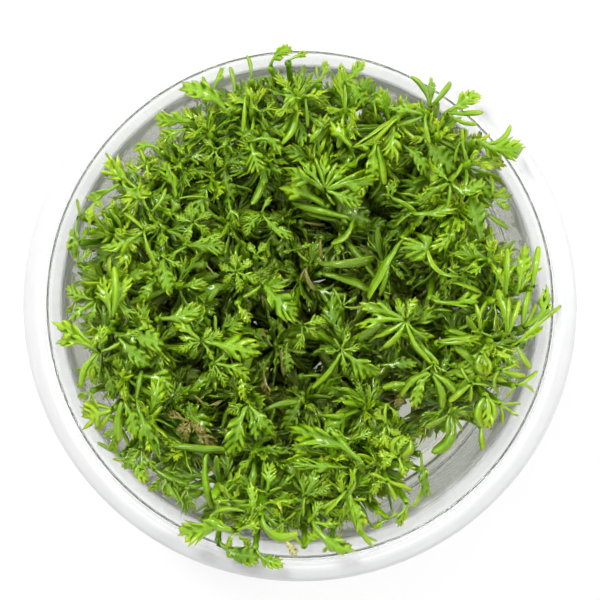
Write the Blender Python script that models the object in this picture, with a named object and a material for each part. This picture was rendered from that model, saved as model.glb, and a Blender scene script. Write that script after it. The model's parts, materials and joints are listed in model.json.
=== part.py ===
# A clear cup of young giant ambulia, grown as a tissue culture: the cup, its nutrient jelly and the leafy
# shoots that stand in it. Metres, +Z up. The origin is the centre of the cup's foot, on the surface that it
# stands on. Looked at from above with +Y up, the plants lie as they do in the photograph.

import math
import random

import bmesh
import bpy
from mathutils import Matrix, Vector
from mathutils.bvhtree import BVHTree

MM = 0.001

# The cup: a thin moulded wall with a turned-down rim, a ledge for the lid and a ring-shaped foot.
ROUND_SEGMENTS = 36
CUP_HEIGHT = 60.0 * MM
RIM_RADIUS = 50.0 * MM
RIM_FLAT_RADIUS = 48.0 * MM
RIM_DROP = 3.6 * MM
MOUTH_RADIUS = 45.3 * MM
LEDGE_HEIGHT = 51.6 * MM
LEDGE_STEP = 0.8 * MM
LEDGE_RADIUS = 42.3 * MM
FLOOR_RADIUS = 40.6 * MM
FLOOR_HEIGHT = 1.9 * MM
FLOOR_CORNER = 1.2 * MM
WALL = 0.8 * MM
FOOT_WIDTH = 2.8 * MM
FOOT_HEIGHT = 1.0 * MM

# The jelly: as deep as the roots need, and clear of the cup's wall by the joint gap.
JELLY_HEIGHT = 14.0 * MM
JOINT_GAP = 0.3 * MM
POCKET_DEPTH = 5.0 * MM
POCKET_CLEARANCE = 0.45 * MM
POCKET_CUT_HEIGHT = POCKET_DEPTH + 1 * MM

# The stems: five-sided, thinner at the top, and splayed, so that their tops stand further out.
STEM_SIDES = 5
STEM_RADIUS = 1.05 * MM
STEM_TOP_RADIUS = 0.8 * MM
STEM_SPLAY = 0.74
STEM_SWEEP = 1.7
BUD_HEIGHT = 1.2 * MM
BUD_PROXY_SHARE = 0.3
WHORL_BAND = 1.3 * MM

# The outer shoots, read from the photograph one by one: direction in degrees from +X, how far from the
# middle the leaf that points outward ends, and the top's height, in millimetres.
OUTER_SHOOTS = (
    (1, 44.0, 60.5),
    (13, 44.4, 61.5),
    (31, 42.4, 58.5),
    (40, 48.8, 63.0),
    (51, 48.6, 63.5),
    (63, 46.6, 62.0),
    (77, 45.2, 61.5),
    (91, 46.2, 62.0),
    (104, 45.2, 61.0),
    (118, 44.2, 59.5),
    (131, 42.6, 58.0),
    (145, 43.8, 59.5),
    (158, 44.6, 60.5),
    (173, 43.4, 60.0),
    (-172, 44.4, 60.5),
    (-157, 43.4, 59.0),
    (-143, 43.6, 58.5),
    (-129, 42.6, 56.5),
    (-114, 47.0, 62.0),
    (-101, 46.4, 62.5),
    (-88, 44.6, 61.0),
    (-76, 45.2, 61.0),
    (-63, 41.8, 58.5),
    (-34, 41.8, 58.5),
    (-23, 44.2, 60.5),
    (-11, 44.2, 61.0),
)
OUTER_LEAF_REACH = 9.0 * MM

# The tops of the inner shoots, also read from the photograph, in millimetres. The heights are judged by how
# dark the leaves are: the lowest stand in the middle.
INNER_SHOOTS = (
    (4.5, 25.0, 58.0),
    (-6.5, 27.0, 57.5),
    (14.5, 26.0, 57.5),
    (24.5, 18.5, 58.5),
    (-16.0, 23.0, 56.5),
    (-13.0, 14.5, 54.5),
    (-25.0, 14.0, 58.5),
    (-2.5, 15.5, 50.0),
    (8.0, 13.0, 51.0),
    (27.0, 8.5, 58.0),
    (15.5, 7.5, 53.0),
    (-10.0, 4.5, 54.0),
    (-22.5, 3.5, 57.5),
    (0.0, 4.5, 48.0),
    (-4.5, -7.5, 50.0),
    (19.0, -4.5, 56.5),
    (24.5, -13.5, 57.0),
    (8.0, -8.0, 52.0),
    (-15.0, -6.5, 56.5),
    (-27.0, -7.5, 58.0),
    (-11.0, -16.5, 54.5),
    (-23.0, -17.5, 54.0),
    (1.0, -18.0, 50.0),
    (12.0, -19.0, 57.0),
    (6.0, -27.5, 58.0),
    (-8.0, -27.0, 56.0),
)

# Each whorl of leaves: how far it is below the bud, how many of the stem's sides bear a leaf, the leaves'
# length, and their slope near the stem and near the tip, as the least and the most, in degrees above level.
WHORLS = (
    {"below": 1.4 * MM, "leaves": 5, "length": (8.5 * MM, 10.5 * MM), "root": (20, 48), "tip": (-4, 24)},
    {"below": 9.0 * MM, "leaves": 3, "length": (9.5 * MM, 12.5 * MM), "root": (8, 36), "tip": (-22, 14)},
    {"below": 21.0 * MM, "leaves": 1, "length": (8.5 * MM, 11.5 * MM), "root": (5, 38), "tip": (-20, 14)},
)
LEAF_HALF_WIDTH = 1.65 * MM
LEAF_HALF_THICKNESS = 0.28 * MM
LEAF_ROOT_HALF_WIDTH = 0.8 * MM
LEAF_ROOT_HALF_THICKNESS = 0.5 * MM
LEAF_MIDDLE = 0.5
LEAF_FREE_FROM = 0.22
LEAF_LOWEST = JELLY_HEIGHT + 1 * MM
LEAF_CLEARANCE = 0.16 * MM
LEAF_TRIES = 40
LEAF_TURN = 20
OUTWARD_TURN = 6
LEAF_ROLL = 25
LEAF_SHRINK = 0.012

# The stretches along the wall that no leaf reaches: from and to which direction in degrees, and from and to
# which radius.
BARE_STRETCHES = (
    (-56, -41, 33.3 * MM, 42.5 * MM),
    (19, 26, 38.5 * MM, 44.5 * MM),
)
BARE_TOP = 75.0 * MM

SEED = 41

CLEAR_PLASTIC = ("clear_plastic", (0.94, 0.95, 0.95), 0.12, 0.9)
AGAR_JELLY = ("agar_jelly", (0.88, 0.9, 0.84), 0.2, 0.85)
LEAF_GREEN = ("leaf_green", (0.2, 0.4, 0.03), 0.35, 0.0)


def clear_scene():
    for obj in list(bpy.data.objects):
        bpy.data.objects.remove(obj)


def finish_of(name, colour, roughness, transmission):
    """A Principled material, made once for each name."""
    found = bpy.data.materials.get(name)
    if found:
        return found
    material = bpy.data.materials.new(name)
    material.use_nodes = True
    shader = material.node_tree.nodes["Principled BSDF"]
    shader.inputs["Base Color"].default_value = (*colour, 1.0)
    shader.inputs["Roughness"].default_value = roughness
    shader.inputs["Metallic"].default_value = 0.0
    shader.inputs["Transmission Weight"].default_value = transmission
    return material


def object_from(name, bm, finish):
    """A new object of this name that holds the bmesh, which is freed."""
    mesh = bpy.data.meshes.new(name)
    bm.to_mesh(mesh)
    bm.free()
    mesh.materials.append(finish_of(*finish))
    obj = bpy.data.objects.new(name, mesh)
    bpy.context.scene.collection.objects.link(obj)
    return obj


def turned(name, profile, finish):
    """The solid made by turning a profile of (radius, height) points, which starts and ends on the axis."""
    bm = bmesh.new()
    points = [bm.verts.new((radius, 0, height)) for radius, height in profile]
    edges = [bm.edges.new(pair) for pair in zip(points, points[1:])]
    bmesh.ops.spin(
        bm,
        geom=points + edges,
        axis=(0, 0, 1),
        cent=(0, 0, 0),
        steps=ROUND_SEGMENTS,
        angle=2 * math.pi,
        use_merge=True,
    )
    bmesh.ops.remove_doubles(bm, verts=bm.verts, dist=0.01 * MM)
    bmesh.ops.recalc_face_normals(bm, faces=bm.faces)
    obj = object_from(name, bm, finish)
    obj.data.shade_smooth()
    obj.data.set_sharp_from_angle(angle=math.radians(35))
    return obj


def wall_radius(height):
    """The radius of the cup's inner wall at a height between its floor and its ledge."""
    share = (height - FLOOR_HEIGHT) / (LEDGE_HEIGHT - FLOOR_HEIGHT)
    return FLOOR_RADIUS + (LEDGE_RADIUS - FLOOR_RADIUS) * share


def cup_profile():
    """From the middle of the underside up the outer wall, over the rim and down inside to the floor."""
    foot_outer = FLOOR_RADIUS - 0.2 * MM
    outside = [
        (0, FOOT_HEIGHT),
        (foot_outer - FOOT_WIDTH - 0.6 * MM, FOOT_HEIGHT),
        (foot_outer - FOOT_WIDTH, 0),
        (foot_outer, 0),
        (FLOOR_RADIUS + WALL, FOOT_HEIGHT + 0.4 * MM),
        (LEDGE_RADIUS + WALL, LEDGE_HEIGHT - 0.4 * MM),
        (MOUTH_RADIUS + 0.6 * MM, CUP_HEIGHT - WALL),
        (RIM_FLAT_RADIUS - 0.4 * MM, CUP_HEIGHT - WALL),
        (RIM_RADIUS - WALL, CUP_HEIGHT - RIM_DROP),
    ]
    inside = [
        (RIM_RADIUS, CUP_HEIGHT - RIM_DROP),
        (RIM_RADIUS, CUP_HEIGHT - 0.5 * RIM_DROP),
        (RIM_FLAT_RADIUS, CUP_HEIGHT),
        (MOUTH_RADIUS, CUP_HEIGHT),
        (LEDGE_RADIUS + LEDGE_STEP, LEDGE_HEIGHT + LEDGE_STEP),
        (LEDGE_RADIUS, LEDGE_HEIGHT),
        (wall_radius(FLOOR_HEIGHT + FLOOR_CORNER), FLOOR_HEIGHT + FLOOR_CORNER),
        (FLOOR_RADIUS - FLOOR_CORNER, FLOOR_HEIGHT),
        (0, FLOOR_HEIGHT),
    ]
    return outside + inside


def jelly_profile():
    """The cup's inside up to the jelly's surface, less the joint gap."""
    low = FLOOR_HEIGHT + JOINT_GAP
    corner_gap = JOINT_GAP * math.tan(math.radians(22.5))
    corner = FLOOR_HEIGHT + FLOOR_CORNER + corner_gap
    return [
        (0, low),
        (FLOOR_RADIUS - FLOOR_CORNER - corner_gap, low),
        (wall_radius(corner) - JOINT_GAP, corner),
        (wall_radius(JELLY_HEIGHT) - JOINT_GAP, JELLY_HEIGHT),
        (0, JELLY_HEIGHT),
    ]


class Shoot:
    """One shoot as planned: where its stem starts and ends, how it is turned, and its leaves."""

    def __init__(self, name, top, turn, reach=None):
        self.name = name
        self.top = top
        self.foot = Vector((top.x * STEM_SPLAY, top.y * STEM_SPLAY, JELLY_HEIGHT - POCKET_DEPTH))
        self.turn = turn
        self.reach = reach
        self.leaves = []

    def point(self, share):
        """The stem's centre at a share of its height. It rises steeply and then leans out."""
        level = self.foot.lerp(self.top, share**STEM_SWEEP)
        return Vector((level.x, level.y, self.foot.z + (self.top.z - self.foot.z) * share))

    def share_below(self, distance):
        """The share of the stem's height at this distance below its top."""
        return 1 - distance / (self.top.z - self.foot.z)

    def ring_shares(self):
        """Where the stem's rings of corners are: at its foot, and below and above each whorl."""
        shares = [0.0]
        for whorl in reversed(WHORLS):
            shares.append(self.share_below(whorl["below"] + WHORL_BAND / 2))
            shares.append(self.share_below(whorl["below"] - WHORL_BAND / 2))
        return shares

    def bud_tip(self):
        return self.top + Vector((0, 0, BUD_HEIGHT))

    def radius(self, share):
        return STEM_RADIUS + (STEM_TOP_RADIUS - STEM_RADIUS) * share

    def corners(self, share, extra=0.0):
        """The corners of the stem's level cross-section there, anticlockwise from above."""
        centre = self.point(share)
        radius = self.radius(share) + extra
        found = []
        for side in range(STEM_SIDES):
            angle = self.turn + 2 * math.pi * side / STEM_SIDES
            found.append(centre + radius * Vector((math.cos(angle), math.sin(angle), 0)))
        return found

    def side_direction(self, side):
        """The level direction that a side of the stem faces."""
        angle = self.turn + 2 * math.pi * (side + 0.5) / STEM_SIDES
        return Vector((math.cos(angle), math.sin(angle), 0))


def shoot_plans(chance):
    """Every shoot of the cup, the outer ones first. An outer one has a side that faces straight out."""
    shoots = []
    for degrees, reach, height in OUTER_SHOOTS:
        angle = math.radians(degrees)
        radius = reach * MM - OUTER_LEAF_REACH
        top = Vector((radius * math.cos(angle), radius * math.sin(angle), height * MM))
        shoots.append(Shoot(f"shoot_{len(shoots) + 1:02d}", top, angle - math.pi / STEM_SIDES, reach * MM))
    for place in INNER_SHOOTS:
        top = Vector(place) * MM
        shoots.append(Shoot(f"shoot_{len(shoots) + 1:02d}", top, chance.uniform(0, 2 * math.pi)))
    return shoots


class Crowd:
    """Everything that is already in place, so that a new leaf can be tried against it."""

    def __init__(self):
        self.members = []

    def add(self, points, faces):
        self.members.append((low_corner(points), high_corner(points), BVHTree.FromPolygons(points, faces)))

    def meets(self, points, faces):
        low = low_corner(points)
        high = high_corner(points)
        tree = None
        for other_low, other_high, other in self.members:
            if any(high[i] < other_low[i] or low[i] > other_high[i] for i in range(3)):
                continue
            tree = tree or BVHTree.FromPolygons(points, faces)
            if tree.overlap(other):
                return True
        return False


def low_corner(points):
    return tuple(min(point[i] for point in points) for i in range(3))


def high_corner(points):
    return tuple(max(point[i] for point in points) for i in range(3))


def tube_faces(rings, sides):
    """The faces of a closed tube whose points come ring after ring."""
    faces = [tuple(reversed(range(sides)))]
    for ring in range(rings - 1):
        start = ring * sides
        for side in range(sides):
            after = (side + 1) % sides
            faces.append((start + side, start + after, start + sides + after, start + sides + side))
    last = (rings - 1) * sides
    faces.append(tuple(range(last, last + sides)))
    return faces


def stem_outline(shoot):
    """The stem as a closed tube with a little room around it."""
    rings = [shoot.corners(share, LEAF_CLEARANCE) for share in shoot.ring_shares()]
    tip = shoot.bud_tip() + Vector((0, 0, LEAF_CLEARANCE))
    rings.append([tip.lerp(Vector((corner.x, corner.y, tip.z)), BUD_PROXY_SHARE) for corner in rings[-1]])
    return [corner for ring in rings for corner in ring], tube_faces(len(rings), STEM_SIDES)


def bare_outline(first, last, inner, outer):
    """A column over the jelly between two directions and two radii."""
    points = []
    for height in (JELLY_HEIGHT, BARE_TOP):
        for degrees, radius in ((first, inner), (first, outer), (last, outer), (last, inner)):
            angle = math.radians(degrees)
            points.append(Vector((radius * math.cos(angle), radius * math.sin(angle), height)))
    return points, tube_faces(2, 4)


class Leaf:
    """A leaf as planned: a blade from one side of the stem, widest at its middle, that ends in a point."""

    def __init__(self, band, side, root, direction, root_slope, tip_slope, length, roll):
        self.band = band
        self.side = side
        self.root = root
        level_across = Vector((-direction.y, direction.x, 0))
        first = direction * math.cos(root_slope) + Vector((0, 0, math.sin(root_slope)))
        second = direction * math.cos(tip_slope) + Vector((0, 0, math.sin(tip_slope)))
        self.middle = root + first * length * LEAF_MIDDLE
        self.tip = self.middle + second * length * (1 - LEAF_MIDDLE)
        along = (first + second).normalized()
        self.across = Matrix.Rotation(roll, 3, along) @ level_across
        self.up = along.cross(self.across)

    def blade_corner(self, across_sign, up_sign, extra=0.0):
        """A corner of the blade's widest cross-section."""
        across = self.across * across_sign * (LEAF_HALF_WIDTH + extra)
        return self.middle + across + self.up * up_sign * (LEAF_HALF_THICKNESS + extra)

    def outline(self):
        """The leaf from just past its root to its tip, with a little room around it."""
        start = self.root.lerp(self.middle, LEAF_FREE_FROM)
        signs = ((-1, -1), (1, -1), (1, 1), (-1, 1))
        across = self.across * (LEAF_ROOT_HALF_WIDTH + LEAF_CLEARANCE)
        up = self.up * (LEAF_ROOT_HALF_THICKNESS + LEAF_CLEARANCE)
        points = [start + across * a + up * u for a, u in signs]
        points += [self.blade_corner(a, u, LEAF_CLEARANCE) for a, u in signs]
        points.append(self.tip + (self.tip - self.middle).normalized() * LEAF_CLEARANCE)
        faces = tube_faces(2, 4)[:-1] + [(4, 5, 8), (5, 6, 8), (6, 7, 8), (7, 4, 8)]
        return points, faces


def find_room(shoot, band, side, crowd, chance):
    """A leaf of this whorl on this side of the stem that meets nothing, or None."""
    whorl = WHORLS[band]
    share = shoot.share_below(whorl["below"])
    direction = shoot.side_direction(side)
    root = shoot.point(share) + direction * shoot.radius(share) * math.cos(math.pi / STEM_SIDES)
    outward = band == 0 and side == 0 and shoot.reach
    most_turn = OUTWARD_TURN if outward else LEAF_TURN
    for attempt in range(LEAF_TRIES):
        turn = Matrix.Rotation(math.radians(chance.uniform(-most_turn, most_turn)), 3, "Z")
        root_slope = math.radians(chance.uniform(*whorl["root"]))
        tip_slope = math.radians(chance.uniform(*whorl["tip"]))
        length = chance.uniform(*whorl["length"])
        if outward:
            level_share = LEAF_MIDDLE * math.cos(root_slope) + (1 - LEAF_MIDDLE) * math.cos(tip_slope)
            length = (shoot.reach - root.xy.length) / level_share
        roll = math.radians(chance.uniform(-LEAF_ROLL, LEAF_ROLL))
        length *= 1 - LEAF_SHRINK * attempt
        leaf = Leaf(band, side, root, turn @ direction, root_slope, tip_slope, length, roll)
        points, faces = leaf.outline()
        if leaf.tip.z > LEAF_LOWEST and not crowd.meets(points, faces):
            crowd.add(points, faces)
            return leaf
    return None


def plan_leaves(shoots, cup, chance):
    """Gives every shoot its leaves, the top whorls first, so that the crown is the fullest."""
    crowd = Crowd()
    crowd.add([v.co.copy() for v in cup.data.vertices], [tuple(p.vertices) for p in cup.data.polygons])
    for stretch in BARE_STRETCHES:
        crowd.add(*bare_outline(*stretch))
    for shoot in shoots:
        points, faces = stem_outline(shoot)
        if crowd.meets(points, faces):
            raise ValueError(f"{shoot.name}'s stem meets another piece")
        crowd.add(points, faces)
    for shoot in shoots:
        if shoot.reach:
            shoot.leaves.append(find_room(shoot, 0, 0, crowd, chance))
    for band, whorl in enumerate(WHORLS):
        for shoot in shoots:
            taken = [leaf.side for leaf in shoot.leaves if leaf.band == band]
            sides = [side for side in range(STEM_SIDES) if side not in taken]
            chance.shuffle(sides)
            wanted = whorl["leaves"] - len(taken)
            for side in sides:
                leaf = find_room(shoot, band, side, crowd, chance) if wanted else None
                if leaf:
                    shoot.leaves.append(leaf)
                    wanted -= 1


def raise_stem(bm, shoot):
    """Extrudes the stem ring by ring, and returns the side faces of each whorl's band, side by side."""
    base = [bm.verts.new(corner) for corner in shoot.corners(0)]
    top = bm.faces.new(base)
    bands = []
    for number, share in enumerate(shoot.ring_shares()[1:]):
        top = extrude_to(bm, top, shoot.corners(share))
        if number % 2:
            bands.insert(0, [across_edge(loop.edge, top) for loop in top.loops])
    bm.faces.new(list(reversed(base)))
    bud = bmesh.ops.poke(bm, faces=[top])["verts"][0]
    bud.co = shoot.bud_tip()
    return bands


def extrude_to(bm, face, corners):
    """Extrudes one face and moves its new corners, in their order, to these places."""
    new = bmesh.ops.extrude_discrete_faces(bm, faces=[face])["faces"][0]
    for loop, corner in zip(new.loops, corners):
        loop.vert.co = corner
    return new


def across_edge(edge, face):
    """The other face on this edge."""
    return next(other for other in edge.link_faces if other is not face)


def put_out_leaf(bm, shoot, leaf, face):
    """Extrudes the side of the stem that the leaf stands on into a blade with a point."""
    centre = face.calc_center_median()
    direction = shoot.side_direction(leaf.side)
    level_across = Vector((-direction.y, direction.x, 0))
    corners = []
    for loop in face.loops:
        offset = loop.vert.co - centre
        across_sign = math.copysign(1, offset.dot(level_across))
        corners.append(leaf.blade_corner(across_sign, math.copysign(1, offset.z)))
    blade = extrude_to(bm, face, corners)
    bmesh.ops.poke(bm, faces=[blade])["verts"][0].co = leaf.tip


def make_shoot(shoot):
    bm = bmesh.new()
    bands = raise_stem(bm, shoot)
    for leaf in shoot.leaves:
        put_out_leaf(bm, shoot, leaf, bands[leaf.band][leaf.side])
    bmesh.ops.triangulate(bm, faces=bm.faces)
    bmesh.ops.recalc_face_normals(bm, faces=bm.faces)
    return object_from(shoot.name, bm, LEAF_GREEN)


def make_pockets(shoots):
    """The holes that the stems stand in: one cutter of as many prisms, each following its stem."""
    bm = bmesh.new()
    for shoot in shoots:
        start = shoot.point(0)
        rise = shoot.point(shoot.ring_shares()[1]) - start
        low = start - rise * (POCKET_CLEARANCE / rise.z)
        high = start + rise * (POCKET_CUT_HEIGHT / rise.z)
        ring = [corner - start for corner in shoot.corners(0, POCKET_CLEARANCE)]
        points = [bm.verts.new(centre + corner) for centre in (low, high) for corner in ring]
        for face in tube_faces(2, STEM_SIDES):
            bm.faces.new([points[i] for i in face])
    bmesh.ops.recalc_face_normals(bm, faces=bm.faces)
    cutter = object_from("stem_pockets", bm, AGAR_JELLY)
    cutter.hide_render = True
    cutter.display_type = "WIRE"
    return cutter


def make_jelly(shoots):
    jelly = turned("nutrient_jelly", jelly_profile(), AGAR_JELLY)
    cut = jelly.modifiers.new("pockets", "BOOLEAN")
    cut.operation = "DIFFERENCE"
    cut.object = make_pockets(shoots)
    return jelly


def main():
    clear_scene()
    chance = random.Random(SEED)
    cup = turned("cup", cup_profile(), CLEAR_PLASTIC)
    shoots = shoot_plans(chance)
    plan_leaves(shoots, cup, chance)
    make_jelly(shoots)
    for shoot in shoots:
        make_shoot(shoot)


main()
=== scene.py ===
import json
import math
import random

import bmesh
import bpy
import numpy as np
from bpy.props import FloatProperty, FloatVectorProperty, IntProperty, PointerProperty
from mathutils import Matrix, Vector


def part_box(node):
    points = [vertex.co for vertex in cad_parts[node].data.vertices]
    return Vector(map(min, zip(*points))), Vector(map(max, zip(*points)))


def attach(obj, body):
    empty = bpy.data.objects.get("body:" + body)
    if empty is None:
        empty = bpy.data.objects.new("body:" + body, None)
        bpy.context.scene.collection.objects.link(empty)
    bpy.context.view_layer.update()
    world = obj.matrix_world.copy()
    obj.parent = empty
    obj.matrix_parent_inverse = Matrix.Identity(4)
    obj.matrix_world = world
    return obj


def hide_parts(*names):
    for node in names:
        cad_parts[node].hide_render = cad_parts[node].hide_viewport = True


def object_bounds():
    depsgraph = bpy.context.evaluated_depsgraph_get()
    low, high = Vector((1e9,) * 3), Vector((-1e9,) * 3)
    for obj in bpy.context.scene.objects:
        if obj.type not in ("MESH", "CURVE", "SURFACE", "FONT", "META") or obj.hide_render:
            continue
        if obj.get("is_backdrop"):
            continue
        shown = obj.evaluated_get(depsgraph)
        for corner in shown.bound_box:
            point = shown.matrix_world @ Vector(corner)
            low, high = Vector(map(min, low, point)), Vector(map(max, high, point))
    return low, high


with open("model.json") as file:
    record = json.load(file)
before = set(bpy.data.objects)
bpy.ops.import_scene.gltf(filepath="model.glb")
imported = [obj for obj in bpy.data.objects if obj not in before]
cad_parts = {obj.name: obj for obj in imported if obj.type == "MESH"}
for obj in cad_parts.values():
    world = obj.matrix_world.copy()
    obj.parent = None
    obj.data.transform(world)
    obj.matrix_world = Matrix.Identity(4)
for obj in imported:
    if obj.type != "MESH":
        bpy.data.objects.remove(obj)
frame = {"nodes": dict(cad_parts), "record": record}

bl_info = {
    "name": "Giant Ambulia Cup",
    "version": (1, 0, 0),
    "blender": (4, 5, 0),
    "location": "3D View > Sidebar > Plant Cup",
    "description": "Dresses a clear cup of young giant ambulia: the cup, its jelly, the shoots and the stage",
    "category": "Object",
}

MM = 0.001
RIM_DISTANCE = 700 * MM
CAMERA_HEIGHT = 760 * MM
CAMERA_BEHIND = 0.81 * MM
CAD_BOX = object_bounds()
CUP_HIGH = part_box("cup")[1]
JELLY_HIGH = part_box("nutrient_jelly")[1]
TOP_LIMIT = float(CAD_BOX[1][2]) - 0.1 * MM
SHOOT_NODES = sorted(name for name in frame["nodes"] if name.startswith("shoot_"))
OPENING = frame["record"]["physics"]["openings"][0]
OPENING_BOX = np.array(OPENING.get("box_m") or OPENING["tested_box_m"])


def length_property(name, description, default):
    """A length that is set in Blender's own units."""
    return FloatProperty(
        name=name, description=description, default=default, subtype="DISTANCE", unit="LENGTH", precision=5)


def colour_property(name, description, default):
    """A colour of three parts."""
    return FloatVectorProperty(
        name=name, description=description, default=default, size=3, min=0, max=1, subtype="COLOR")


class CupLooks(bpy.types.PropertyGroup):
    """Sizes and finish of the clear cup."""

    rim_radius: length_property("Rim Radius", "Outer radius of the turned-down rim", float(CUP_HIGH[0]))
    height: length_property("Height", "Height of the flat rim above the table", float(CUP_HIGH[2]))
    mouth_radius: length_property(
        "Mouth Radius", "Inner radius of the flat rim, where the lid's seat starts", 45.3 * MM)
    ledge_radius: length_property("Ledge Radius", "Radius of the wall just under the lid's seat", 42.3 * MM)
    ledge_height: length_property("Ledge Height", "Height of the step under the lid's seat", 51.6 * MM)
    floor_radius: length_property("Floor Radius", "Inner radius of the wall at the cup's floor", 40.6 * MM)
    floor_height: length_property("Floor Height", "Height of the cup's floor inside", 1.9 * MM)
    wall: length_property("Wall", "Thickness of the moulded wall", 0.8 * MM)
    tint: colour_property("Tint", "Colour that the plastic gives to light passing it", (0.97, 0.975, 0.975))
    film_tint: colour_property(
        "Film Tint", "Colour of the wet film on the wall under the lid's seat", (0.93, 0.95, 0.87))
    flange_tint: colour_property(
        "Flange Tint", "Colour that the flat rim gives to light passing it", (0.83, 0.83, 0.835))


class JellyLooks(bpy.types.PropertyGroup):
    """Sizes and finish of the nutrient jelly."""

    surface: length_property("Surface", "Height of the jelly's level surface", float(JELLY_HIGH[2]))
    creep: length_property("Creep", "How far the surface climbs where it meets the wall", 1.1 * MM)
    tint: colour_property("Tint", "Colour that the jelly gives to light passing it", (0.95, 0.96, 0.92))


class FoliageLooks(bpy.types.PropertyGroup):
    """Colours and sizes of the leaves and stems."""

    # Leaves are coloured from shade green up to lime by their freshness: partly their age, partly painted light high
    # up and near the edge, and painted shade low in the cup and toward its middle.
    lime: colour_property("Lime", "Youngest leaves at the top", (0.265, 0.455, 0.003))
    bright_green: colour_property("Bright Green", "Open leaves of the crowns", (0.15, 0.31, 0.002))
    deep_green: colour_property("Deep Green", "Older leaves under the crowns", (0.105, 0.21, 0.003))
    shade_green: colour_property("Shade Green", "Oldest leaves low in the cup", (0.12, 0.185, 0.01))
    wilted: colour_property("Wilted", "Dying leaves in the dark middle", (0.2, 0.12, 0.04))
    yellowed: colour_property("Yellowed", "The dead leaf at the edge", (0.7, 0.62, 0.28))
    leaf_thickness: FloatProperty(
        name="Leaf Thickness", description="Thickness of a leaf at its midrib, as a share of its length",
        default=0.052, min=0.005, max=0.1)
    seed: IntProperty(name="Seed", description="Start of the random choices", default=7, min=0)


class StageLooks(bpy.types.PropertyGroup):
    """The floor, the lights and the camera."""

    floor_colour: colour_property("Floor Colour", "Pale table under the cup", (0.4, 0.4, 0.4))
    floor_glow: FloatProperty(
        name="Floor Glow", description="Light that the table gives off itself, like a light table",
        default=0.6, min=0)
    floor_width: length_property("Floor Width", "Side of the square table", 6.0)
    camera_height: length_property("Camera Height", "Height of the camera above the rim", RIM_DISTANCE)
    view_width: length_property("View Width", "Width that the picture takes in at the height of the rim", 0.108)
    view_middle: length_property("View Middle", "How far the picture's middle lies behind the cup's", CAMERA_BEHIND)
    sky: FloatProperty(name="Sky", description="Strength of the even light from all round", default=0.74, min=0)
    softbox: FloatProperty(
        name="Softbox", description="Power of the large soft light", default=13.5, min=0, unit="POWER")


# Shaping with operators

def let_go():
    """Leaves nothing selected."""
    bpy.ops.object.select_all(action="DESELECT")


class Shaping:
    """Edit mode on the active object, whose points are picked in code and handed to the operators."""

    def __init__(self):
        self.piece = bpy.context.object
        bpy.ops.object.mode_set(mode="EDIT")
        bpy.ops.mesh.select_mode(type="VERT")

    def pick(self, test):
        """Selects the points that pass the test, and says how many do."""
        shape = bmesh.from_edit_mesh(self.piece.data)
        for point in shape.verts:
            point.select = bool(test(point))
        shape.select_flush_mode()
        found = sum(point.select for point in shape.verts)
        bmesh.update_edit_mesh(self.piece.data)
        return found

    def pick_near(self, places):
        """Selects the point nearest to each place."""
        shape = bmesh.from_edit_mesh(self.piece.data)
        nearest = {min(shape.verts, key=lambda v: (v.co - Vector(place)).length).index for place in places}
        return self.pick(lambda point: point.index in nearest)

    def picked(self):
        """The places of the selected points."""
        shape = bmesh.from_edit_mesh(self.piece.data)
        return [point.co.copy() for point in shape.verts if point.select]

    def middle(self):
        places = self.picked()
        return sum(places, Vector()) / len(places)

    def draw_out(self, step):
        bpy.ops.mesh.extrude_region_move(TRANSFORM_OT_translate={"value": step})

    def shift(self, step):
        bpy.ops.transform.translate(value=step)

    def resize(self, factors, centre=None):
        bpy.ops.transform.resize(value=factors, center_override=centre or self.middle())

    def turn(self, angle):
        """Turns what is selected about the upright through its middle, anticlockwise from above."""
        bpy.ops.transform.rotate(value=-angle, orient_axis="Z", center_override=self.middle())

    def done(self):
        bpy.ops.object.mode_set(mode="OBJECT")
        return self.piece


class Pattern:
    """A modelled shape in its own small frame, ready to be copied into a larger mesh."""

    def __init__(self, piece, core=None):
        mesh = piece.data
        self.points = np.array([v.co[:] for v in mesh.vertices])
        self.faces = [tuple(p.vertices) for p in mesh.polygons]
        self.corners = np.array([i for face in self.faces for i in face])
        self.sizes = np.array([len(face) for face in self.faces])
        self.map = np.column_stack([self.points[:, 0] + 0.5, self.points[:, 1]])
        self.beyond = np.zeros(len(self.points))
        if core is not None:
            edge = np.interp(self.points[:, 1], *core)
            self.beyond = np.maximum(0, np.abs(self.points[:, 0]) - edge)
        bpy.data.objects.remove(piece)
        bpy.data.meshes.remove(mesh)


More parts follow.
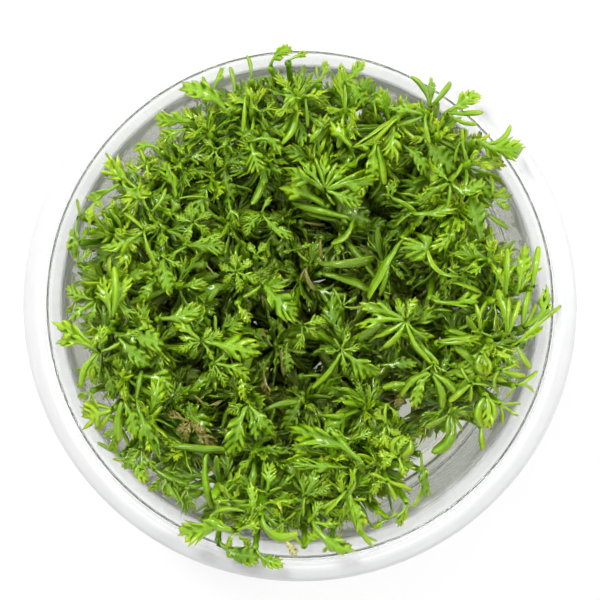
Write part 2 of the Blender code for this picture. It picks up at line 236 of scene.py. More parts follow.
# Each form of leaf: rows of its middle strip as (how far along, half width), and its lobes as
# (row, side, length, lean in degrees from straight ahead, width). All are shares of the leaf's length.
LEAF_FORMS = {
    "tongue": {
        "rows": ((0, 0.06), (0.1, 0.046), (0.22, 0.05), (0.36, 0.064), (0.5, 0.077), (0.64, 0.083), (0.76, 0.08),
                 (0.87, 0.069), (0.95, 0.05), (1, 0)),
        "lobes": (),
    },
    "notched": {
        "rows": ((0, 0.06), (0.11, 0.045), (0.24, 0.045), (0.37, 0.055), (0.49, 0.062), (0.6, 0.062), (0.7, 0.058),
                 (0.79, 0.052), (0.87, 0.044), (0.94, 0.03), (1, 0)),
        "lobes": ((4, 1, 0.2, 22, 0.6), (6, 1, 0.15, 20, 0.65), (5, -1, 0.2, 22, 0.6), (7, -1, 0.12, 18, 0.65)),
    },
    "lobed": {
        "rows": ((0, 0.05), (0.12, 0.037), (0.24, 0.034), (0.35, 0.04), (0.44, 0.046), (0.53, 0.05), (0.61, 0.05),
                 (0.69, 0.048), (0.76, 0.044), (0.83, 0.038), (0.92, 0.027), (1, 0)),
        "lobes": ((3, 1, 0.22, 30, 0.58), (5, 1, 0.25, 27, 0.6), (7, 1, 0.2, 23, 0.62), (9, 1, 0.12, 20, 0.65),
                  (4, -1, 0.25, 29, 0.58), (6, -1, 0.23, 25, 0.6), (8, -1, 0.15, 21, 0.62)),
    },
    "cut": {
        "rows": ((0, 0.046), (0.14, 0.034), (0.27, 0.028), (0.37, 0.03), (0.46, 0.034), (0.54, 0.036), (0.62, 0.036),
                 (0.7, 0.036), (0.78, 0.034), (0.88, 0.027), (1, 0)),
        "lobes": ((3, 1, 0.28, 34, 0.56), (5, 1, 0.31, 29, 0.6), (7, 1, 0.22, 24, 0.62),
                  (3, -1, 0.25, 36, 0.56), (5, -1, 0.3, 30, 0.6), (7, -1, 0.25, 26, 0.62)),
    },
    "fan": {
        "rows": ((0, 0.05), (0.14, 0.038), (0.28, 0.034), (0.42, 0.038), (0.52, 0.046), (0.6, 0.052), (0.67, 0.052),
                 (0.74, 0.048), (0.81, 0.042), (0.9, 0.032), (1, 0)),
        "lobes": ((4, 1, 0.34, 36, 0.62), (6, 1, 0.27, 25, 0.7), (8, 1, 0.13, 18, 0.7),
                  (4, -1, 0.3, 34, 0.62), (6, -1, 0.29, 24, 0.7)),
    },
    "broad": {
        "rows": ((0, 0.055), (0.12, 0.042), (0.23, 0.048), (0.32, 0.066), (0.41, 0.086), (0.5, 0.1), (0.58, 0.106),
                 (0.66, 0.102), (0.73, 0.09), (0.81, 0.071), (0.9, 0.046), (1, 0)),
        "lobes": ((3, 1, 0.1, 26, 0.65), (5, 1, 0.15, 25, 0.65), (7, 1, 0.15, 22, 0.65), (9, 1, 0.12, 18, 0.65),
                  (4, -1, 0.12, 26, 0.65), (6, -1, 0.16, 24, 0.65), (8, -1, 0.13, 20, 0.65)),
    },
}


def model_leaf(form, thickness):
    """Models one leaf along +Y from 0 to 1: a strip with a midrib, lobes drawn out of its edges, and two faces."""
    rows = LEAF_FORMS[form]["rows"]
    let_go()
    bpy.ops.mesh.primitive_grid_add(
        x_subdivisions=2, y_subdivisions=len(rows) - 1, size=1, location=(0, 0.5, 0))
    bpy.ops.object.transform_apply(location=True, rotation=True, scale=True)
    shaping = Shaping()
    last = len(rows) - 1
    # Rows are placed from the tip back, so that no row passes its neighbour's place.
    placed = set()
    for index in range(last, -1, -1):
        height, half = rows[index]
        start = index / last
        shaping.pick(lambda v: abs(v.co.y - start) < 0.2 / last and v.index not in placed)
        placed |= {point.index for point in bmesh.from_edit_mesh(shaping.piece.data).verts if point.select}
        shaping.resize((max(half, 0.0001) / 0.5, 1, 1), (0, start, 0))
        shaping.shift((0, height - start, 0))
    shaping.pick(lambda v: v.co.y > 0.999)
    bpy.ops.mesh.merge(type="CENTER")
    for row, side, length, lean, width in LEAF_FORMS[form]["lobes"]:
        edge = [Vector((side * rows[row + k][1], rows[row + k][0], 0)) for k in (-1, 0, 1)]
        grow_lobe(shaping, edge, side, length, math.radians(lean), width)
    shape = bmesh.from_edit_mesh(shaping.piece.data)
    count = len(shape.verts)
    bpy.ops.mesh.select_all(action="SELECT")
    bpy.ops.mesh.duplicate()
    bpy.ops.mesh.flip_normals()
    # The rib and the lobes' middles stand proud of the edges, most near the stalk.
    for top in (True, False):
        sign = 1 if top else -1
        for low, high, swell in ((-0.1, 0.3, 0.62), (0.3, 0.6, 0.5), (0.6, 0.8, 0.38), (0.8, 1.0, 0.26)):
            chosen = shaping.pick(
                lambda v: (v.index < count) == top and not v.is_boundary and low <= v.co.y < high)
            if chosen:
                shaping.shift((0, 0, sign * swell * thickness))
    bpy.ops.mesh.select_all(action="SELECT")
    bpy.ops.mesh.remove_doubles(threshold=0.00005)
    bpy.ops.mesh.normals_make_consistent(inside=False)
    piece = shaping.done()
    core = ([height for height, _ in rows], [half for _, half in rows])
    return Pattern(piece, core)


def grow_lobe(shaping, edge, side, length, lean, width):
    """Draws a lobe out of three neighbouring edge points: to a waist, and from it to a blunt point."""
    ahead = Vector((side * math.sin(lean), math.cos(lean), 0))
    base = (edge[2] - edge[0]).length
    shaping.pick_near(edge)
    shaping.draw_out(ahead * length * 0.56)
    shaping.turn(side * 0.62 * (math.pi / 2 - lean))
    spread = max((a - b).length for a in shaping.picked() for b in shaping.picked())
    shaping.resize((width * base / spread, width * base / spread, 1))
    shaping.draw_out(ahead * length * 0.5)
    bpy.ops.mesh.merge(type="CENTER")


def model_stem(sides, rows):
    """Models a stem along +Z from 0 to 1 with a radius of 1: a ring drawn up in steps and closed at both ends."""
    let_go()
    bpy.ops.mesh.primitive_circle_add(vertices=sides, radius=1, fill_type="NGON")
    shaping = Shaping()
    bpy.ops.mesh.select_all(action="SELECT")
    for _ in range(rows):
        shaping.draw_out((0, 0, 1 / rows))
    shaping.resize((0.45, 0.45, 1))
    bpy.ops.mesh.select_all(action="SELECT")
    bpy.ops.mesh.normals_make_consistent(inside=False)
    return Pattern(shaping.done())


# Leaves in place

# A full turn in radians, near enough for the start of a ripple.
FULL_TURN = 6.28


class Leaf:
    """One leaf's line: its root, middle and tip, and the way its upper face looks."""

    def __init__(self, root, middle, tip, up, form, width=1.0, freshness=0.6, wilt=0.0):
        self.root = np.array(root, float)
        self.middle = np.array(middle, float)
        self.tip = np.array(tip, float)
        self.up = np.array(up, float)
        self.form = form
        self.width = width
        self.freshness = freshness
        self.wilt = wilt

    @property
    def bend(self):
        return 2 * self.middle - (self.root + self.tip) / 2

    @property
    def length(self):
        return float(np.linalg.norm(self.middle - self.root) + np.linalg.norm(self.tip - self.middle))

    def spine(self, share):
        return arc(np.asarray(share)[:, None], self.root, self.bend, self.tip)[0]

    def feelers(self):
        """A few places on the leaf that show whether it has room."""
        spine = self.spine([0.35, 0.55, 0.75, 0.9, 1.0])
        side = unit(np.cross(self.tip - self.root, self.up)) * 0.16 * self.length * self.width
        return np.vstack([spine, spine[1:3] + side, spine[1:3] - side])


def arc(share, start, bend, end):
    """The places on a curve that leaves start toward bend and arrives at end from it, and the ways it goes there."""
    places = (1 - share) ** 2 * start + 2 * share * (1 - share) * bend + share**2 * end
    return places, 2 * (1 - share) * (bend - start) + 2 * share * (end - bend)


def unit(vectors):
    """Vectors brought to a length of one."""
    vectors = np.asarray(vectors, float)
    return vectors / np.maximum(np.linalg.norm(vectors, axis=-1, keepdims=True), 1e-12)


def aimed_leaf(root, axis, heading, rise, fall, length, roll, form, **looks):
    """A leaf of a stem along axis that leaves it at one slope and ends at another, turned about its own line."""
    first_side = unit(np.cross([0.0, 1.0, 0.0], axis))
    second_side = np.cross(axis, first_side)
    level = math.cos(heading) * first_side + math.sin(heading) * second_side
    first = level * math.cos(rise) + axis * math.sin(rise)
    second = level * math.cos(fall) + axis * math.sin(fall)
    middle = root + first * length * 0.5
    tip = middle + second * length * 0.5
    along = unit(first + second)
    across = np.cross(axis, level)
    turned = np.array(Matrix.Rotation(roll, 3, Vector(along)) @ Vector(across))
    return Leaf(root, middle, tip, np.cross(along, turned), form, **looks)


def laid_along(leaf, pattern, chance, looseness):
    """The pattern's points laid along the leaf's line, channelled, rippled and a little uneven."""
    across, along, thick = pattern.points.T
    length = leaf.length
    phases = [chance.uniform(0, FULL_TURN) for _ in range(4)]
    right = across > 0
    along = along + 0.5 * pattern.beyond * np.sin(8 * along + np.where(right, phases[0], phases[1]))
    share = np.clip(along, 0, 1.04)[:, None]
    spine, way = arc(share, leaf.root, leaf.bend, leaf.tip)
    ahead = unit(way)
    side = unit(np.cross(ahead, leaf.up))
    up = np.cross(side, ahead)
    twist = (looseness * chance.uniform(-0.9, 0.9) * share[:, 0] ** 1.4)[:, None]
    side, up = side * np.cos(twist) + up * np.sin(twist), up * np.cos(twist) - side * np.sin(twist)
    sway = chance.uniform(-0.07, 0.07) * np.sin(math.pi * along)
    halves = np.where(right, chance.uniform(0.8, 1.15), chance.uniform(0.8, 1.15))
    spread = across * leaf.width * halves + sway
    channel = chance.uniform(-0.15, 0.75)
    droop = chance.uniform(-1.0, 2.4)
    lift = channel * np.abs(across) - droop * across**2
    lift += pattern.beyond * 1.15 * np.sin(11 * along + phases[3] + 2.1 * right)
    lift += 0.014 * np.sin(14 * along + phases[2])
    return spine + side * (spread * length)[:, None] + up * ((thick + lift) * length)[:, None]


# The room inside the cup as heights and radii, and how foliage lies over the rim and above the jelly.
ROOM_HEIGHTS = np.array([1.9, 51.6, 52.4, 59.2, 60.1, 60.25, 75]) * MM
ROOM_RADII = np.array([40.3, 41.9, 42.7, 44.7, 45.0, 49.6, 49.8]) * MM
OVER_RIM_FROM, NEAR_RIM_FROM, OVER_RIM = 44.4 * MM, 55 * MM, 60.3 * MM
LOWEST_POINT, LOWEST_FEELER, OPENING_MARGIN = 14.3 * MM, 15 * MM, 0.4 * MM


def cup_limit(height):
    """How far out foliage may reach at a height inside the cup."""
    return np.interp(height, ROOM_HEIGHTS, ROOM_RADII)


def kept_in(points):
    """Points moved the least that keeps them in the cup, over its rim and under the part's top."""
    points = points.copy()
    reach = np.hypot(points[:, 0], points[:, 1])
    over = (reach > OVER_RIM_FROM) & (points[:, 2] > NEAR_RIM_FROM)
    points[:, 2] = np.where(over, np.maximum(points[:, 2], OVER_RIM), points[:, 2])
    factor = np.minimum(1, cup_limit(points[:, 2]) / np.maximum(reach, 1e-9))
    points[:, :2] *= factor[:, None]
    points[:, 2] = np.clip(points[:, 2], LOWEST_POINT, TOP_LIMIT)
    return points


def trespass(points):
    """How far places lie outside what foliage may fill, in metres."""
    reach = np.hypot(points[:, 0], points[:, 1])
    out = np.maximum(0, reach - cup_limit(points[:, 2])).sum()
    out += np.maximum(0, points[:, 2] - TOP_LIMIT).sum() + np.maximum(0, LOWEST_FEELER - points[:, 2]).sum()
    inside = np.minimum(points - OPENING_BOX[0], OPENING_BOX[1] - points).min(axis=1)
    return out + 2 * np.maximum(0, inside + OPENING_MARGIN).sum()


CAMERA_PLACE = np.array([0, CAMERA_BEHIND])


def on_rim_plane(points):
    """Where points show on the plane of the rim from the camera, with their real heights kept."""
    scale = RIM_DISTANCE / (CAMERA_HEIGHT - points[:, 2:])
    return np.hstack([CAMERA_PLACE + (points[:, :2] - CAMERA_PLACE) * scale, points[:, 2:]])


def off_rim_plane(across, up, height):
    """The place at a height that shows at across and up, both in mm on the plane of the rim."""
    scale = (CAMERA_HEIGHT - height) / RIM_DISTANCE
    level = CAMERA_PLACE + (np.array([across, up]) * MM - CAMERA_PLACE) * scale
    return np.array([level[0], level[1], height])


# How near a view counts as blocked, how far below a leaf still hides it, and how wide a leaf's room may count.
VIEW_RADIUS, VIEW_DEPTH, FULL_ROOM = 1.15 * MM, 0.6 * MM, 3 * MM
GATHER_REACH = 20 * MM


class Crowd:
    """All leaves placed so far, so that a new one can look for room."""

    def __init__(self):
        self.places = np.zeros((0, 3))
        self.near = self.places
        self.shown = self.places
        self.shown_near = self.places

    def gather(self, middle):
        """Keeps at hand the places near an upright line through a point."""
        self.near, self.shown_near = (
            held[np.abs(held[:, :2] - middle[:2]).max(axis=1) < GATHER_REACH] for held in (self.places, self.shown))

    def add(self, leaf):
        feelers = leaf.feelers()
        self.places = np.vstack([self.places, feelers])
        self.near = np.vstack([self.near, feelers])

    def show(self, leaf):
        """Keeps the view of a leaf of the top layer free."""
        self.add(leaf)
        self.shown = np.vstack([self.shown, on_rim_plane(leaf.spine([0.3, 0.45, 0.6, 0.75, 0.9, 1.0]))])

    def hidden(self, feelers):
        """How many of the feelers stand before a leaf of the top layer or in a gap."""
        seen = on_rim_plane(feelers)
        count = 0
        if len(self.shown_near):
            apart = seen[:, None] - self.shown_near[None]
            close = (np.hypot(apart[..., 0], apart[..., 1]) < VIEW_RADIUS) & (apart[..., 2] > -VIEW_DEPTH)
            count += int(close.any(axis=1).sum())
        for across, up, radius, height in GAPS:
            near = np.hypot(seen[:, 0] - across * MM, seen[:, 1] - up * MM) < radius * MM
            count += int((near & (seen[:, 2] > height * MM)).sum())
        return count

    def room(self, leaf):
        """The leaf's least distance to any other, less what it trespasses and hides."""
        feelers = leaf.feelers()
        gap = FULL_ROOM
        if len(self.near):
            apart = feelers[:, None] - self.near[None]
            gap = min(gap, math.sqrt(np.einsum("ijk,ijk->ij", apart, apart).min()))
        return gap - 0.6 * trespass(feelers) - FULL_ROOM * self.hidden(feelers)


class Joined:
    """Copies of patterns gathered into one mesh."""

    def __init__(self):
        self.points, self.corners, self.sizes, self.maps = [], [], [], []
        self.values = {"freshness": [], "tone": [], "wilt": []}
        self.count = 0

    def add(self, pattern, points, freshness, tone, wilt, leaf_map=None):
        self.points.append(points)
        self.corners.append(pattern.corners + self.count)
        self.sizes.append(pattern.sizes)
        self.maps.append((pattern.map if leaf_map is None else leaf_map)[pattern.corners])
        for name, value in (("freshness", freshness), ("tone", tone), ("wilt", wilt)):
            self.values[name].append(np.broadcast_to(value, len(points)))
        self.count += len(points)

    def add_leaf(self, leaf, pattern, points, fresh_and_lit, tone, tip_light_and_youth, lobe_light_and_youth):
        """Adds a leaf painted lighter toward its tip and in its lobes and darker at its base: partly younger growth,
        partly painted light through the thin tips and painted shade at the base.
        """
        fresh_and_lit = np.clip(fresh_and_lit + tip_light_and_youth * (pattern.points[:, 1] - 0.55) + lobe_light_and_youth * pattern.beyond, 0, 1)
        self.add(pattern, kept_in(points), fresh_and_lit, min(1, max(0, tone)), leaf.wilt)

    def piece(self, name, material):
        """The whole mesh as an object, with the leaves' own map and attributes."""
        mesh = bpy.data.meshes.new(name)
        points, corners, sizes = (np.concatenate(x) for x in (self.points, self.corners, self.sizes))
        mesh.vertices.add(len(points))
        mesh.vertices.foreach_set("co", points.astype(np.float32).ravel())
        mesh.loops.add(len(corners))
        mesh.loops.foreach_set("vertex_index", corners.astype(np.int32))
        mesh.polygons.add(len(sizes))
        mesh.polygons.foreach_set("loop_start", np.concatenate([[0], np.cumsum(sizes)[:-1]]).astype(np.int32))
        mesh.polygons.foreach_set("use_smooth", np.ones(len(sizes), bool))
        mesh.update(calc_edges=True)
        layer = mesh.uv_layers.new(name="leaf_map")
        layer.uv.foreach_set("vector", np.concatenate(self.maps).astype(np.float32).ravel())
        for key, parts in self.values.items():
            held = mesh.attributes.new(key, "FLOAT", "POINT")
            held.data.foreach_set("value", np.concatenate(parts).astype(np.float32))
        mesh.validate()
        mesh.materials.append(material)
        piece = bpy.data.objects.new(name, mesh)
        bpy.context.collection.objects.link(piece)
        return piece


# The shoots as the frame holds them

STEM_SWEEP = 1.7
BUD_HEIGHT = 1.2 * MM
MERGE_DISTANCE = 0.02 * MM
WIDEST_LEAF, SHORTEST_TIP = 4 * MM, 3 * MM


class Shoot:
    """A shoot read from its solid: the stem's foot and top, and the leaves that the solid has."""

    def __init__(self, node):
        self.node = node
        shape = bmesh.new()
        shape.from_mesh(frame["nodes"][node].data)
        bmesh.ops.remove_doubles(shape, verts=shape.verts, dist=MERGE_DISTANCE)
        self.leaves = []
        of_leaves = set()
        for tip in shape.verts:
            around = [edge.other_vert(tip) for edge in tip.link_edges]
            if len(around) != 4:
                continue
            middle = sum((v.co for v in around), Vector()) / 4
            spread = max((a.co - b.co).length for a in around for b in around)
            if spread > WIDEST_LEAF or (tip.co - middle).length < SHORTEST_TIP:
                continue
            first = around[0]
            others = sorted(around[1:], key=lambda v: (v.co - first.co).length)
            up = (others[0].co - first.co).normalized()
            if up.z < 0:
                up = -up
            held = {v for a in around for v in (e.other_vert(a) for e in a.link_edges)} - set(around) - {tip}
            root = sum((v.co for v in held), Vector()) / len(held)
            self.leaves.append((root, middle, tip.co.copy(), up))
            of_leaves |= {tip, *around}
        stem = [v.co.copy() for v in shape.verts if v not in of_leaves]
        lowest = min(v.z for v in stem)
        ring = [v for v in stem if v.z < lowest + 0.1 * MM]
        self.foot = np.array(sum(ring, Vector()) / len(ring))
        self.top = np.array(max(stem, key=lambda v: v.z)) - np.array([0, 0, BUD_HEIGHT])
        shape.free()

    def centre(self, share):
        share = np.asarray(share, float)[..., None]
        level = self.foot + (self.top - self.foot) * share**STEM_SWEEP
        height = self.foot[2] + (self.top[2] - self.foot[2]) * share[..., 0]
        return np.concatenate([level[..., :2], height[..., None]], axis=-1)

    def share_below(self, distance):
        return 1 - distance / (self.top[2] - self.foot[2])


# Whorls that each shoot gets between those of its solid: how far below its top, leaves, length, slopes at the
# root and at the tip in degrees, freshness, and the forms that it may have. Lower whorls are coloured
# darker: partly older leaves, partly painted shade deep in the cup.
NARROW = ("tongue", "notched", "tongue", "tongue")
MIXED = ("lobed", "notched", "cut", "tongue", "lobed", "cut", "fan", "tongue")
EXTRA_WHORLS = (
    (-0.6, 4, (3.0, 4.6), (62, 84), (84, 130), 0.72, ("tongue", "notched", "lobed")),
    (0.4, 6, (4.0, 6.4), (38, 72), (10, 62), 0.7, ("notched", "lobed", "tongue", "fan")),
    (1.7, 6, (5.4, 8.2), (12, 52), (-25, 40), 0.6, MIXED),
    (3.3, 6, (6.2, 9.0), (0, 46), (-35, 30), 0.52, MIXED),
    (5.3, 6, (6.8, 9.6), (0, 44), (-35, 30), 0.46, MIXED),
    (7.6, 6, (7.2, 10.2), (-5, 42), (-35, 25), 0.4, MIXED),
    (10.5, 6, (7.6, 10.8), (-5, 42), (-35, 25), 0.34, MIXED),
    (14.5, 5, (9.0, 13.0), (0, 40), (-30, 30), 0.28, NARROW),
    (20.0, 5, (9.0, 12.5), (5, 42), (-25, 30), 0.2, NARROW),
    (26.0, 5, (9.0, 12.5), (-5, 35), (-30, 20), 0.14, ("tongue", "notched", "broad")),
    (32.0, 5, (9.5, 13.0), (-10, 25), (-30, 10), 0.1, ("tongue", "broad", "lobed")),
    (37.0, 5, (10.0, 13.5), (-12, 18), (-25, 5), 0.07, ("tongue", "broad", "lobed")),
    (41.5, 6, (10.0, 14.0), (-12, 12), (-15, 5), 0.05, ("tongue", "broad", "broad")),
)
LEAF_TRIES = 6
LOWEST_WHORL = 16.5 * MM
WILTING_FROM = 28
